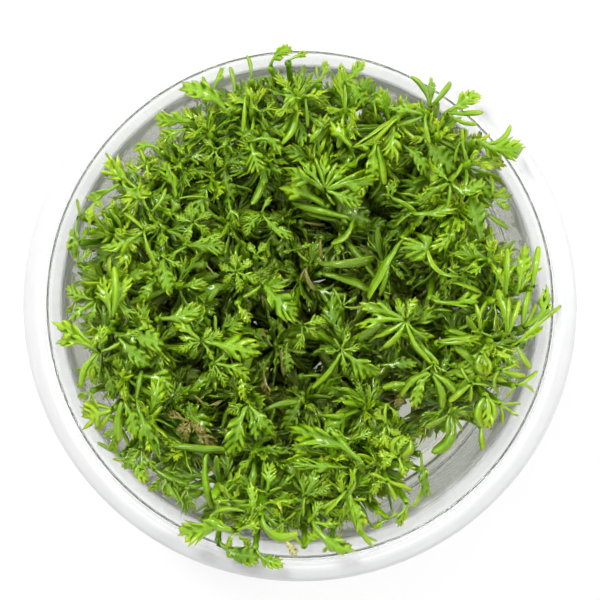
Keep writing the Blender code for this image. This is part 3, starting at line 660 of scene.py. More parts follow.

# The crowns of the top layer, as they show on the plane of the rim from above: across and up in mm, how much
# higher than the shoots around it, freshness (how light the crown is coloured: partly its age, partly painted light
# and shade), and each leaf's form, tip, width and bow to its side.
# Leaves that bow away from each other between one root and one tip make a closed bud.
# A small letter stands for a wilted leaf, and Y for the one that has turned yellow. A width of 1 and a bow of 0
# are left out, and a line that starts with a space goes on with the crown above it.
FORM_LETTERS = {"T": "tongue", "N": "notched", "L": "lobed", "C": "cut", "F": "fan", "B": "broad", "Y": "broad"}
CROWNS = """
-32.6 -21.7 0.5 0.58: N -35.5 -24 1.1; L -34.2 -26.7 1.2; T -30.8 -25.6 1.1; T -34.7 -20.6
-28.6 -26 0.5 0.5: B -31.7 -29.8 1.1; L -28.3 -31.4 1.2; N -25.6 -29.8; N -31.3 -26.4
-24.1 -30.1 0 0.42: L -27.2 -33.8 1.2; N -23.6 -35 1.1; L -20.9 -34.1 1.2; N -21.4 -30.5
-20.5 -33.2 -0.5 0.36: C -19.1 -37.2 1.1; T -22.1 -36.4 1.1
-37.6 -15.6 0.5 0.62: L -40.1 -16.8 1.2; N -38.9 -19.5 1.1; T -36.2 -19
-38.5 -12.3 0.5 0.66: N -40.7 -11.6 1.1; L -40 -15.2 1.2; B -36.4 -14.8
-40.3 0.8 0 0.6: N -42.1 -1.9 1.2; L -39.2 -2.1 1.2; T -41 3.9
-39.8 11.1 0.5 0.66: N -41.4 13.6 1.2; L -38.2 13.8 1.2; L -41 8.4 1.2
-12.4 -35.2 1 0.82: N -14.6 -32.3 1.1; L -11 -32.9 1.1; N -15.7 -35.5; T -9.7 -35.7
-3.1 -39.1 1 0.8: L -5.4 -36.6 1.1; N -3.4 -42.8 1.1; L -5.4 -41.9 1.1; T -0.7 -37.2
5.6 -42.9 0.5 0.78: N 4 -44.7; L 7.7 -41.3
15.8 -38.6 1 0.84: N 13.3 -37; L 13 -40.4 1.1; N 17.6 -37
-35.5 16.5 1 0.8: L -36.9 19.7 1.2; N -32.8 18.8 1.1; N -38.2 15.4 1.1; L -33.8 13.8 1.1
-23 29.1 1 0.72: L -24.7 31.4 1.1; N -20.5 26.9 1.1; N -25.2 28.2
-15.3 27.8 1 0.7: L -17.5 30 1.1; N -12.8 29.6; L -14 24.6 1.1; N -17.6 25.6
-6.8 34.6 1 0.74: N -9 36.3; L -4.5 36.8 1.1; L -5.8 31.8 1.1
32.8 -8.9 2.5 0.84: T 33.7 -12.7 1.9 0.34; T 32 -12.9 1.7 -0.38; B 33.1 -13.2 1 -0.05; T 34.6 -11.1 1.6 0.2;
 T 31.3 -11.2 1.5 -0.2
33.5 -16.5 1.5 0.88: T 32.8 -22.2 1.4 0.26; T 33.8 -21.5 1.3 -0.3; B 31.9 -21.5 0.9 0.1; N 33.1 -22.6 1.1 -0.05
32.6 -21.9 0 0.84: T 32.9 -26.2 1.2
15.8 -18.4 1 0.8: B 14 -20.8 1.1 0.3; B 16.6 -21.5 1.1 -0.3
19.3 -23.7 1.5 0.88: T 17.6 -27.6 1.8 0.35; T 18.2 -27.6 1.6 -0.3
-17.1 7.3 0 0.5: b -18.9 6.2 1.1; t -15.5 5.3 1.1
1.1 6.9 -1.5 0.4: t -0.2 4.2; t 2.9 2.4 1 0.1
-5.9 -6 -0.5 0.4: b -7.2 -4.6 1.2; t -5 -7.6 1.1
-3.4 -7.8 -1.5 0.35: t -2.9 -12.9
-6.7 -12 -1.5 0.35: n -5.9 -16.6
-19.8 -21 0 0.4: n -23.8 -19; b -16.7 -23.1 1.1; b -20.9 -24.8 1.1; n -14.9 -25.5; b -22.5 -23.1 1.2
-16.9 -18.3 -0.5 0.4: t -19.1 -16.3 1.1; n -13.9 -17.2
18.2 -15.6 0 0.5: b 17.5 -18.8 1.3
-2.7 -42 1 0.8: Y -0.5 -45.4 1.1
0.4 14.8 -2 0.4: t 4.7 14.3 0.9
3.8 12 -2 0.4: t 4 8
7.9 13.6 -2.5 0.4: t 9.4 11.1 1.1
-13 34.6 1 0.8: B -22 38.6 0.9 0.1
-15.8 38.2 1 0.7: N -13.5 42.9; T -17.6 41.1
-11.7 38.1 1 0.7: T -12.6 42.8
-18.9 33 2 0.75: L -26.6 33.4 1.2 -0.05
-20.2 31.8 1 0.7: C -25.7 29.4 1.1; T -21.1 34.6 1 0.05
-25 27.6 1 0.75: N -30.1 27.3 1 0.3
-27.7 25.3 1 0.9: L -30.4 23.8 1.2; N -27.4 22.4 1.2; L -25.2 26.2 1.2; T -28.8 28 1.2
-32.2 22.1 1 0.75: T -35.1 27.4 0.7 0.05; N -38.9 19.3 0.8 -0.1; B -26.8 21.1 0.9 0.3
-39.6 15.8 0 0.6: T -40.1 19 0.9; T -38.5 17.6 0.8
-37.8 13.4 1 0.95: B -37.3 18.4 0.9
-27 16.5 1 0.75: T -29 22.2 1 -0.05; T -24.1 21.1 1 0.05
-22.1 19 1 0.7: L -25 26 1.3; T -16.9 19.3 0.7
-19.3 14.8 2 0.72: B -22.7 16.1 1.1; B -19.8 18.4 1.1; L -15.7 16.3 1.2; L -16.4 12.3 1.2; B -20.9 11.4 1.1
-13.5 26 -2 0.35: B -11.7 18.3 0.9 0.05
-5.4 42.8 1 0.75: L -1.3 46.4 1.2 -0.1
-2.2 43.8 1 0.7: N 1.6 45.3 1 -0.1
-8.8 40.6 1 0.7: T -9.5 44.9
-9.9 37.7 1 0.85: T -10.3 30.9 0.6 0.03
-9 29.2 2 0.75: C -7.4 23.3 1.3 0.03; N -3.4 26.6 0.9 -0.3
0.9 37.4 0 0.7: T 1.3 31.8 0.8
9.5 28.2 2 0.9: N 5.4 33 1.2; L 14.8 30 1.1; T 18 33.9 0.35 0.05
4.5 20.6 2.5 0.72: T 2.7 26.4 0.9; N 4.7 27.6 0.9; T 6.7 25.5 0.9; N -0.4 26.2; L -3.1 24.6; T -0.4 22.9 0.9;
 N 8.5 25.5; T 12.1 24.2 0.9; N 14.4 22.6; L 11.5 18.4 1.1; T 6.3 17.9
4.9 17.7 1.5 0.85: N -4 21 1.1
9.4 15.4 1.5 0.7: T -1.6 18.3 0.65 0.05; T 5.4 10.9 0.9 -0.25
7.4 15 1.5 0.7: T 1.1 16.6 0.9
5.8 20.4 -1.5 0.36: B 13.1 14.8 1.3 0.05
13.7 29.8 1 0.82: B 13 21.1 0.75 0.03; T 15.1 21.3 0.9
-13 18.4 1 0.65: C -11.5 13.4 1.2
8.1 39.9 1 0.68: B 11.5 35.4 1.1 -0.1; T 8.1 34.8 1 0.05; N 7.4 43.6; L 11.5 44 1.1
13.3 36.4 1 0.75: T 13.7 33.6 1.2
3.6 39.9 1 0.7: N 4.9 44; T 2.9 43.1; T 1.4 39.7 0.9 0.2
23.4 35.5 1 0.45: B 23.4 41.1 0.8; T 20 41.1 0.8 0.1; T 27.2 40.2 0.9
26.5 34.5 1.5 0.72: L 32.4 38.2 1.1; T 31.9 32.5 0.8 0.1; T 33.1 34.6 0.9
31.7 29.4 1.5 0.8: T 38.2 32.9 0.7 0.35; L 40.9 28.3 1.1 0.05; N 36 25.6 1.1; T 34.2 30.7 1.1
22.5 34.1 2 0.72: N 15.8 35.5 0.9; T 17.3 32.3 0.9; T 23.4 28.9 0.8
29 29.6 0 0.72: T 27.9 25.6 0.8; T 30.2 25.6 0.8
17.5 33.6 2 0.9: T 13.1 29.2 0.7
22.3 30 -0.5 0.52: B 28.3 24.2 1.3 0.05
18.2 28.7 1 0.66: B 22.7 22.9 0.9 -0.15
27 21.9 2.5 0.66: B 23.4 25.5 0.9; B 32.9 22.9 1 0.3; N 21.1 18.4; T 26.5 17.4 0.9; T 29.2 25.5 0.9
34.6 19.3 0 0.7: T 34.2 23.3 0.9; L 37.1 21.1; N 38.5 19.7; L 38 17.2
32.6 10.9 1 0.55: B 30.4 19.7 1.1 0.05
33.1 16.6 0 0.35: T 37.6 13.6 1.1
16.2 19.3 1 0.75: B 15.1 21.9 1.3 0.4; B 17.8 21.7 1.3 -0.4; T 20.9 16.6; T 14.4 19.5 1.2 0.2
20 16.3 1.5 0.78: N 28.3 17.4 0.8 0.1; T 17.3 14.1 0.9
-39.8 15.9 0 0.5: B -40.7 7.8 0.7 0.08
-28.1 13.4 1.5 0.8: L -36.2 10.2 1.1 -0.15; T -31.7 16.5 0.9; N -25 15; T -25.6 6.6 0.6 0.05
-24.7 8.5 1.5 0.72: F -27.2 3 1.4; B -22.9 1.7 1 0.1; N -20.7 6.6
-20.5 10.5 1 0.68: L -13.9 13; L -13.3 10.5; N -24.3 7.6
-11.5 5.8 2 0.78: B -14.9 7.3 1.1; L -12.2 9.1 1.2; B -8.5 8 1.2; L -7.2 4.2 1.2; B -10.6 2.1 1.1; B -13.9 3.7 1.1
-33.7 -2.8 2 0.85: T -33.5 7.1 0.8 0.02; L -35.3 5.5; N -29.9 5.1 0.9 -0.05
-25.6 4.6 1 0.66: B -29 0.4
-25.6 -2.6 0.5 0.72: L -17.5 0.1 1 0.05
-18.9 -4.4 1 0.74: L -17.3 0.1 1.1; T -20.2 -1.2
-17.8 -6.6 2.5 0.78: N -22.9 -3.3; L -21.8 -8.4 1.1; N -22 -5.8 0.9; L -19.6 -9.6 1.1; L -13.9 -4.8 1.2;
 B -15.8 -4 0.9; L -6.7 -8.9 1.1 -0.05; N -15.5 -10.3
-15.5 -10.7 2 0.75: C -16.2 -13.6 1.1; N -11.9 -8.5; L -8.8 -13.8 1.1 -0.1; L -13.3 -15 1.2
-10.8 -12 1.5 0.95: B -10.1 -17.6 0.9
-32.9 -5.8 1.5 0.62: B -24.1 -7.5 1.3 -0.05; B -26.8 -11.2 1.1; L -28.6 -4.4
-36.2 -8.5 2 0.8: N -44.8 -3.1 0.8 0.12; N -44.1 -7.1 0.8 0.1; T -31.9 -6.4 1.1; L -35.1 -3.3 1.2; L -38 -13.6;
 T -39.4 -14.7 1 0.1
-35.3 -10.7 -1 0.38: B -33.5 -17.6 0.7
-36.7 0.8 0.5 0.68: L -42.3 3; N -41.9 -3 1 0.05; B -38.2 -3.3 0.9; T -34 3.7
-40 7.3 0.5 0.6: N -37.4 9.8; L -36.5 5.7; T -40.5 11.1
-7 16.3 1.5 0.68: B -1.1 12 0.7; L -10.1 12.2; L -11 14.8; N -5 19.7
3.2 7.3 -1 0.34: T 13.7 8.5 0.8 0.03
3.8 5.5 -1 0.42: T 12.8 2.4 1 -0.03
-7.9 8.7 1 0.78: B -9.5 11.1 1.2; B -5.8 11.2 1.1; L -5.8 7.6
-0.7 9.8 -0.5 0.6: L -3.2 9.4 1.1; N 2.3 10.9; T 1.6 7.6 0.9
-6.7 3.7 2 0.72: L -0.2 -2.2 1.4; T -10.3 1.3 1.1; B -4.1 0.8
-1.4 -1.5 1 0.6: T -1.1 2.4 0.9
-11.3 0.1 1 0.88: B -8.8 -3.3 1.3
0.4 -3.7 1 0.74: L 4.7 -2.6 1.2; L 3.4 -5.8 1.1; C 0 -8.5 0.9; T -2.2 -2.2
7.4 -8.2 1.5 0.7: L 15.1 -12.5 1.4; N 8.3 -12.5; L 4.3 -8.5 1.1; T 6.1 -6; T 2 -15.2 0.8 -0.1; N 11.2 -7.1; N 8.8 -4.2
7.6 -0.3 0 0.58: T 5.9 3 0.9; T 8.1 2.2 0.9; N 10.3 1.5 0.9; T 11.5 -0.3 0.9
-2.3 -6.6 0 0.36: B -1.8 -12.5 0.9
0.2 -12.9 -1 0.4: T 4.9 -13
18.4 11.8 2 0.7: T 12.2 0.6 0.72 -0.03
16.2 7.3 1 0.6: T 14.4 1.3 0.8 0.05; B 18.9 4.4; N 16.4 9.8
11.2 7.8 -1 0.42: T 13.7 4.6
19.1 -2.8 2.5 0.82: N 10.6 0.4 1 -0.03; N 9.7 -3.9 0.9 0.03; T 13.3 -5.8 0.9 -0.1; T 14.9 -7.8 0.9 -0.05;
 B 20.9 1.5 1.1; L 17.5 1.3; T 23.8 -10.7 0.7 0.05; N 24.5 -6 0.8 0.1
14.4 -11.1 -1 0.42: B 21.4 -10.5
23.9 -1 0 0.66: T 27.4 -1.2; N 24.7 2.6; T 22.3 -3.1
29 5.1 1.5 0.72: T 22.9 10 0.5 -0.25; T 26.5 6.6 0.8; N 25.9 3.7 0.8
25.9 4.2 1.5 0.72: T 32.9 1.9 0.6 -0.05
23.4 1 1.5 0.75: N 33.1 2.2 0.7 0.12
37.4 -5.8 1 0.8: T 37.6 1.5 0.8 0.03; T 35.5 2.8 0.9 0.03; T 39.6 0.8 0.8 -0.03
37.1 1.2 1.5 0.82: T 37.3 10.2 0.75 0.03; N 34.4 7.6 0.9 0.03; T 39.1 7.3 0.9 -0.1
39.4 2.2 1.5 0.88: B 40.7 11.1 0.75; N 41.6 6.9 0.9
40.1 -4.2 1 0.84: T 41.4 2.8 0.9; N 44.3 3.7 0.8 0.2; T 42.5 0.1 0.9
41.8 3.1 1.5 0.88: T 43 10.5 0.85; T 43.7 6.6 0.8 -0.25; T 40.3 6.9 0.9 0.1
38.9 -7.3 1 0.86: T 47 -0.1 0.5 -0.05; B 43.9 -3.9 0.9; T 41.6 -11.6
32.4 -4.8 1 0.8: T 31.5 0.1 1 0.1; T 33.7 0.6 0.8 -0.08; T 30.8 -4.8 1.1; T 34.7 -5.8
34.4 -7.5 0 0.42: B 39.2 -4.8 0.9
24.8 -6.8 2 0.76: T 32.8 -5.5 0.8 0.08; N 32.8 -7.3 0.8 -0.04
24.1 -10.7 1.5 0.7: T 21.2 -12.9; N 26.6 -12.2; T 25.2 -14.1 1.1
36 -11.8 1.5 0.84: T 38.9 -10.7 1.1; T 35.1 -15 1.2 0.1; T 40.7 -12.9; T 33.5 -13.6 1.1
38.9 -14.7 1 0.86: T 42.8 -12; T 42.1 -15.9 0.9 -0.15; T 37.1 -16.8 1.1; T 39.6 -12.2
30.8 -14.3 1 0.76: T 26.8 -17.6 1.3 0.05; T 34.2 -14.7 1.1; T 29 -11.2 1.1; T 30.6 -17.6 1.2
36 -17.9 0 0.85: T 39.8 -17.9; T 39.4 -20.1 0.9; T 36.4 -21.5 0.9; T 34 -16.8
23.6 -12.3 2 0.7: B 20.9 -19 0.8 0.12; T 25.4 -18.8 1.3 -0.1; T 28.3 -16.5 1.2 -0.1; T 18.2 -16.6 1 0.1
20 -14.3 1.5 0.74: T 14.8 -15 1.3
27 -19.7 0 0.52: T 23.6 -26.6 1.2 -0.3; T 27.4 -24.9 1.1 0.1; T 29.3 -22.8; T 22.5 -22.2 1.2
15.5 -21.7 2 0.84: L 13 -19.7 1.2 0.1; T 15.5 -17.9; B 16.7 -25.6 1.1 0.3; B 12.4 -25.1 1.1 -0.2; B 18.4 -22.8 1 0.2
17.8 -27.3 2 0.88: B 20.2 -24 0.9 -0.3; B 15.1 -30.1 1 0.3; B 13.7 -26.7; N 19.3 -31 1.1 0.1
15.7 -31.9 1.5 0.9: B 13.7 -34.5 1 0.4; T 17.3 -35.5 1.1; T 20.2 -33.6 1.1 -0.1; T 12.4 -30.5 1.1 0.1
21.6 -26.9 0 0.34: B 22.5 -35 0.7 -0.05
22.3 -30.1 0 0.8: T 20.2 -36.4 0.9 -0.1
19.3 -35.7 0.5 0.86: N 18.4 -39 1.1; N 17.6 -40.2; T 21.1 -36.4
-9.5 -17.9 1.5 0.64: B -4.5 -24 0.8 -0.08; L -13.1 -19.7 1.1; L -12.1 -27.4 1.1 0.05; N -7.9 -24.6
-6.8 -19.2 -0.5 0.38: T -0.2 -17.6 0.9
0.4 -16.1 -1 0.36: B -2.9 -22.9
11.9 -29.1 1.5 0.72: L -2.3 -22.8 0.7 0.05
9.2 -29.2 0.5 0.66: L -2 -28.3 0.65 -0.05
9.5 -24.4 2 0.74: N 5.2 -22.2; B 8.1 -26 0.9; L 13.3 -22.8 1.1
3.2 -24.8 1 0.74: B 1.8 -22.4 1.2
-5.8 -33.8 1.5 0.78: L -4.9 -28.2 1.4; T -3.2 -32.9 0.9; T -8.3 -32.9
-8.8 -39 1 0.86: B -9 -31.4 0.65
-7 -37.9 1 0.8: T -0.2 -40.9 1 0.25
-9.5 -37.4 1 0.86: T -15.5 -37.4 0.8 0.05
-11.5 -40.8 2.5 0.84: N -17.3 -39.3 0.9; L -22.1 -41.7 1.1 0.05; L -8.6 -43.5 1.2; N -6.5 -39.5; L -13.1 -44 1.1
-14.8 -42.8 2 0.46: B -6.8 -45.3 1.2 0.05
-8.1 -44 2.5 0.6: L -2.7 -46.7 1.1 0.1
2 -39.1 1.5 0.76: N 10.1 -44.4 1 0.1; L 4 -35.2 1.1; N 7.2 -39.3
0.7 -43.8 1 0.86: B 3.8 -40.4 1.1; T -1.4 -40.9
8.6 -33.2 1.5 0.8: B 11 -41.1 0.9 0.03; T 4.3 -38.1 0.8; T 13.1 -43.6 0.6 0.05
11 -41.5 1 0.84: T 13.9 -42.6
0.9 -34.5 1 0.66: T 0.7 -38.2; L 5.2 -33.2 1.1; T -0.2 -31.4; N 2.9 -29.6
-33.5 -18.8 0 0.92: F -39.4 -20.2 1.6; T -38.9 -17.4; T -36.5 -22.9
-32.2 -27.3 0 0.6: T -36.5 -24.8 1.1 -0.05
-31.9 -17 1 0.66: T -32.6 -24.8 1 0.03; B -29.5 -24.4 0.9
-29.5 -17.2 0.5 0.62: T -28.4 -11.8; B -24.8 -28.3 0.75 -0.03
-27 -28.9 -1 0.38: C -18.4 -37.5 1.2; T -19.8 -32.5 1 0.05
-30.6 -27.6 0 0.84: B -27 -31.9 0.9; T -33.8 -27.8 0.9
-24.1 -25.1 0 0.5: T -13.1 -26.2 0.7
-16.9 -26.6 1 0.76: T -15.7 -36.8 0.8 0.02
"""
# Openings in the foliage: across, up and radius in mm on the same plane, and the height that leaves stay under.
GAPS = (
    (36.5, 15.5, 2.4, 20), (38.4, 13.4, 1.6, 20), (-34.0, -18.6, 1.3, 20), (-17.4, -32.6, 2.6, 20),
    (27.5, -28.5, 4.4, 20), (23.5, -32.5, 3.2, 20), (31.0, -24.0, 3.2, 20),
    (-24.1, 0.9, 2.0, 44), (16.4, -18.0, 2.2, 38), (2.2, 14.6, 1.8, 46), (-4.4, -8.0, 1.8, 46),
)


def crown_table():
    """Reads CROWNS: each crown's place, lift and freshness, and its leaves as (letter, across, up, width, bow)."""
    for line in CROWNS.replace("\n ", " ").strip().split("\n"):
        crown, leaves = line.split(":")
        tips = []
        for leaf in leaves.split(";"):
            letter, *numbers = leaf.split()
            across, up, width, bow = [float(number) for number in numbers] + [1.0, 0.0][len(numbers) - 2:]
            tips.append((letter, across, up, width, bow))
        yield (*map(float, crown.split()), tips)


# The height near which the top layer lies, the room that a crown keeps under the part's top, and how far below a
# crown its side stem leaves the shoot.
CROWN_LEVEL, CROWN_ROOM = 60 * MM, 1.2 * MM
CARRIER_BELOW, BRANCH_BELOW, HIGHEST_BRANCH = 12 * MM, 11 * MM, 0.97
CROWN_LEAF_WIDTH = 1.12


def height_light_and_youth(point):
    """How much lighter foliage is painted for standing high and near the edge: partly younger growth at the top,
    partly painted light, with painted shade deeper in the cup and toward its middle.
    """
    reach = math.hypot(point[0], point[1]) / (40 * MM)
    return 0.35 * (point[2] - 57 * MM) / (12 * MM) + 0.2 * (reach - 0.7)


def solid_leaves(shoot, chance):
    """The leaves of the shoot's solid, each given a form and a slight bow to one side."""
    for root, middle, tip, up in shoot.leaves:
        below = shoot.top[2] - root.z
        # Lower leaves are coloured darker: partly older, partly painted shade deep in the cup.
        if below < 5 * MM:
            form, freshness = chance.choice(MIXED), 0.62
        elif below < 15 * MM:
            form, freshness = chance.choice(MIXED), 0.42
        else:
            form, freshness = chance.choice(NARROW), 0.22
        ahead = (tip - root).normalized()
        across = ahead.cross(up)
        middle = middle + across * chance.uniform(-0.9, 0.9) * MM + up * chance.uniform(-0.5, 0.9) * MM
        up = Matrix.Rotation(chance.uniform(-0.7, 0.7), 3, ahead) @ up
        yield Leaf(root, middle, tip, up, form, chance.uniform(0.85, 1.25), freshness)


def crown_leaves(shoots, chance):
    """The leaves of the top layer and the side stems that carry them, for each shoot's node."""
    tops = np.array([shoot.top for shoot in shoots])
    carriers = np.array([shoot.centre(shoot.share_below(CARRIER_BELOW)) for shoot in shoots])
    leaves = {shoot.node: [] for shoot in shoots}
    stems = {shoot.node: [] for shoot in shoots}
    for across, up, lift, freshness, tips in crown_table():
        guess = off_rim_plane(across, up, CROWN_LEVEL)
        apart = np.hypot(*(tops[:, :2] - guess[:2]).T)
        weight = 1 / (apart + 1 * MM) ** 2
        height = min((tops[:, 2] * weight).sum() / weight.sum() + (1.2 + lift) * MM, TOP_LIMIT - CROWN_ROOM)
        root = off_rim_plane(across, up, height)
        index = int(np.argmin(np.hypot(*(carriers[:, :2] - root[:2]).T)))
        shoot = shoots[index]
        start = shoot.centre(min(HIGHEST_BRANCH, shoot.share_below(shoot.top[2] - height + BRANCH_BELOW)))
        knee = np.array([*(0.25 * start + 0.75 * root)[:2], start[2] + 0.35 * (root[2] - start[2])])
        stems[shoot.node].append((start, knee, root, freshness))
        for letter, tip_across, tip_up, width, bow in tips:
            reach = math.hypot(tip_across - across, tip_up - up)
            rise = chance.uniform(-0.2, 0.12) * reach
            tip = off_rim_plane(tip_across, tip_up, min(height + rise * MM, TOP_LIMIT - 0.6 * MM))
            side = np.cross(unit(tip - root), [0, 0, 1])
            middle = (root + tip) / 2 + side * bow * reach * MM
            middle[2] += chance.uniform(0.05, 0.2) * reach * MM
            middle[2] = min(middle[2], TOP_LIMIT - 0.5 * MM)
            lean = Matrix.Rotation(chance.uniform(-0.5, 0.5), 3, Vector(unit(tip - root)))
            wilt = -0.85 if letter == "Y" else 0.75 if letter.islower() else 0
            leaves[shoot.node].append(Leaf(
                root, middle, tip, lean @ Vector((0, 0, 1)), FORM_LETTERS[letter.upper()],
                width * CROWN_LEAF_WIDTH, freshness - 0.02 + chance.uniform(-0.05, 0.05), wilt))
    return leaves, stems


def extra_leaves(shoot, crowd, chance):
    """The leaves of the whorls between those of the solid, each where it has the most room of a few tries."""
    nod = np.array([chance.uniform(-0.8, 0.8), chance.uniform(-0.8, 0.8), 0])
    crowd.gather(shoot.top)
    for below, count, lengths, rises, falls, freshness, forms in EXTRA_WHORLS:
        if shoot.top[2] - below * MM < LOWEST_WHORL:
            continue
        share = shoot.share_below(below * MM)
        stem = unit(shoot.centre(share) - shoot.centre(share - 0.02))
        axis = unit(stem + nod * (0.35 + 0.65 * share))
        start = chance.uniform(0, 2 * math.pi)
        for index in range(count):
            turn = start + 2 * math.pi * index / count
            best = None
            for _ in range(LEAF_TRIES):
                heading = turn + chance.uniform(-0.6, 0.6)
                root = shoot.centre(min(share, 1.0)) + stem * (max(0, -below) * MM)
                leaf = aimed_leaf(
                    root, axis, heading, math.radians(chance.uniform(*rises)), math.radians(chance.uniform(*falls)),
                    chance.uniform(*lengths) * MM, math.radians(chance.uniform(-60, 60)), chance.choice(forms),
                    width=chance.uniform(0.72, 1.18), freshness=freshness,
                    wilt=chance.uniform(0, 0.5) if below > WILTING_FROM else 0)
                room = crowd.room(leaf)
                if best is None or room > best[0]:
                    best = (room, leaf)
            if best[0] > -FULL_ROOM:
                crowd.add(best[1])
                yield best[1]


# Stems: the main one's nodes in mm below its top, and the thickness in mm of side stems at their foot, their head
# and the node under it, and of roots at both ends.
NODES_BELOW = (1.4, 4.8, 9.0, 14.5, 21.0, 29.0, 37.0)
SIDE_STEM = (0.72, 0.52, 0.14)
ROOT_THREAD = (0.22, 0.09)
ROOTS_A_SHOOT = 5
ROOTS_REACH = 38 * MM


def ringed(pattern, centre, ahead, radius):
    """The stem pattern's rings laid round their centres, square to the way ahead."""
    side = unit(np.cross(ahead, [0, 1, 0]))
    return centre + radius * (side * pattern.points[:, :1] + np.cross(side, ahead) * pattern.points[:, 1:2])


def stem_points(shoot, pattern):
    """The stem's points along the shoot, swollen at its nodes."""
    share = pattern.points[:, 2]
    centre = shoot.centre(share)
    ahead = unit(shoot.centre(share + 0.01) - shoot.centre(share - 0.01 * (share > 0.01)))
    radius = (1.05 - 0.25 * share) * MM
    below = (1 - share) * (shoot.top[2] - shoot.foot[2])
    for node in NODES_BELOW:
        radius = radius * (1 + 0.22 * np.exp(-(((below - node * MM) / (0.9 * MM)) ** 2)))
    return ringed(pattern, centre, ahead, radius[:, None])


def curved_stem_points(pattern, start, knee, end, thick, thin, node=0.0):
    """A stem's points along a curve, with a radius in mm at each end and a swelling just before the last."""
    share = pattern.points[:, 2:]
    centre, way = arc(share, start, knee, end)
    radius = (thick + (thin - thick) * share + node * np.exp(-(((share - 0.95) / 0.06) ** 2))) * MM
    return ringed(pattern, centre, unit(way + np.array([0, 0, 1e-6])), radius)


def root_lines(shoot, chance):
    """Where the fine roots under a shoot bend and end, inside the jelly."""
    foot = shoot.foot
    for _ in range(ROOTS_A_SHOOT):
        heading = chance.uniform(0, 2 * math.pi)
        way = np.array([math.cos(heading), math.sin(heading), 0])
        knee = foot + way * chance.uniform(0.5, 2.5) * MM - [0, 0, chance.uniform(3, 5) * MM]
        end = foot + way * chance.uniform(2, 6) * MM
        end[:2] *= min(1, ROOTS_REACH / math.hypot(end[0], end[1]))
        end[2] = chance.uniform(3.0, 6.5) * MM
        yield knee, end


# Materials

class Wiring:
    """A new material's nodes, with short ways to add to them."""

    def __init__(self, name):
        self.material = bpy.data.materials.new(name)
        self.material.use_nodes = True
        self.tree = self.material.node_tree
        self.place = self.node("ShaderNodeTexCoord").outputs["Object"]

    def feed(self, socket, value):
        """Links a socket to another, or sets it to a number or a colour."""
        if isinstance(value, bpy.types.NodeSocket):
            self.tree.links.new(value, socket)
        elif isinstance(value, (int, float)):
            socket.default_value = value
        else:
            socket.default_value = (*value, 1)[:len(socket.default_value)]

    def node(self, kind, **settings):
        """A node with its inputs and its own settings given by name."""
        made = self.tree.nodes.new(kind)
        for key, value in settings.items():
            if key in made.inputs:
                self.feed(made.inputs[key], value)
            else:
                setattr(made, key, value)
        return made

    def finish(self, values):
        """Feeds the shader's inputs by name and gives the material."""
        for name, value in values.items():
            self.feed(self.tree.nodes["Principled BSDF"].inputs[name], value)
        return self.material

    def maths(self, operation, first, *second, clamp=False):
        made = self.node("ShaderNodeMath", operation=operation, use_clamp=clamp)
        for socket, value in zip(made.inputs, (first, *second)):
            self.feed(socket, value)
        return made.outputs[0]

    def plus(self, first, second, clamp=False):
        return self.maths("ADD", first, second, clamp=clamp)

    def minus(self, first, second):
        return self.maths("SUBTRACT", first, second)

    def times(self, first, second, clamp=False):
        return self.maths("MULTIPLY", first, second, clamp=clamp)

    def parts(self, vector):
        return self.node("ShaderNodeSeparateXYZ", Vector=vector).outputs

    def noise(self, scale, detail, roughness):
        return self.node(
            "ShaderNodeTexNoise", Vector=self.place, Scale=scale, Detail=detail, Roughness=roughness).outputs["Fac"]

    def bump(self, height, strength, distance):
        return self.node("ShaderNodeBump", Height=height, Strength=strength, Distance=distance).outputs[0]

    def mixed(self, share, first, second, blend="MIX"):
        """A colour mix of sockets or colours."""
        made = self.node("ShaderNodeMix", data_type="RGBA", blend_type=blend)
        for socket, value in zip((made.inputs["Factor"], *made.inputs[6:8]), (share, first, second)):
            self.feed(socket, value)
        return made.outputs[2]

    def spanned(self, value, low, high, to_low=0.0, to_high=1.0):
        """A smooth step from to_low where the value is low to to_high where it is high."""
        made = self.node("ShaderNodeMapRange", interpolation_type="SMOOTHSTEP", Value=value)
        for key, number in (("From Min", low), ("From Max", high), ("To Min", to_low), ("To Max", to_high)):
            made.inputs[key].default_value = number
        return made.outputs["Result"]


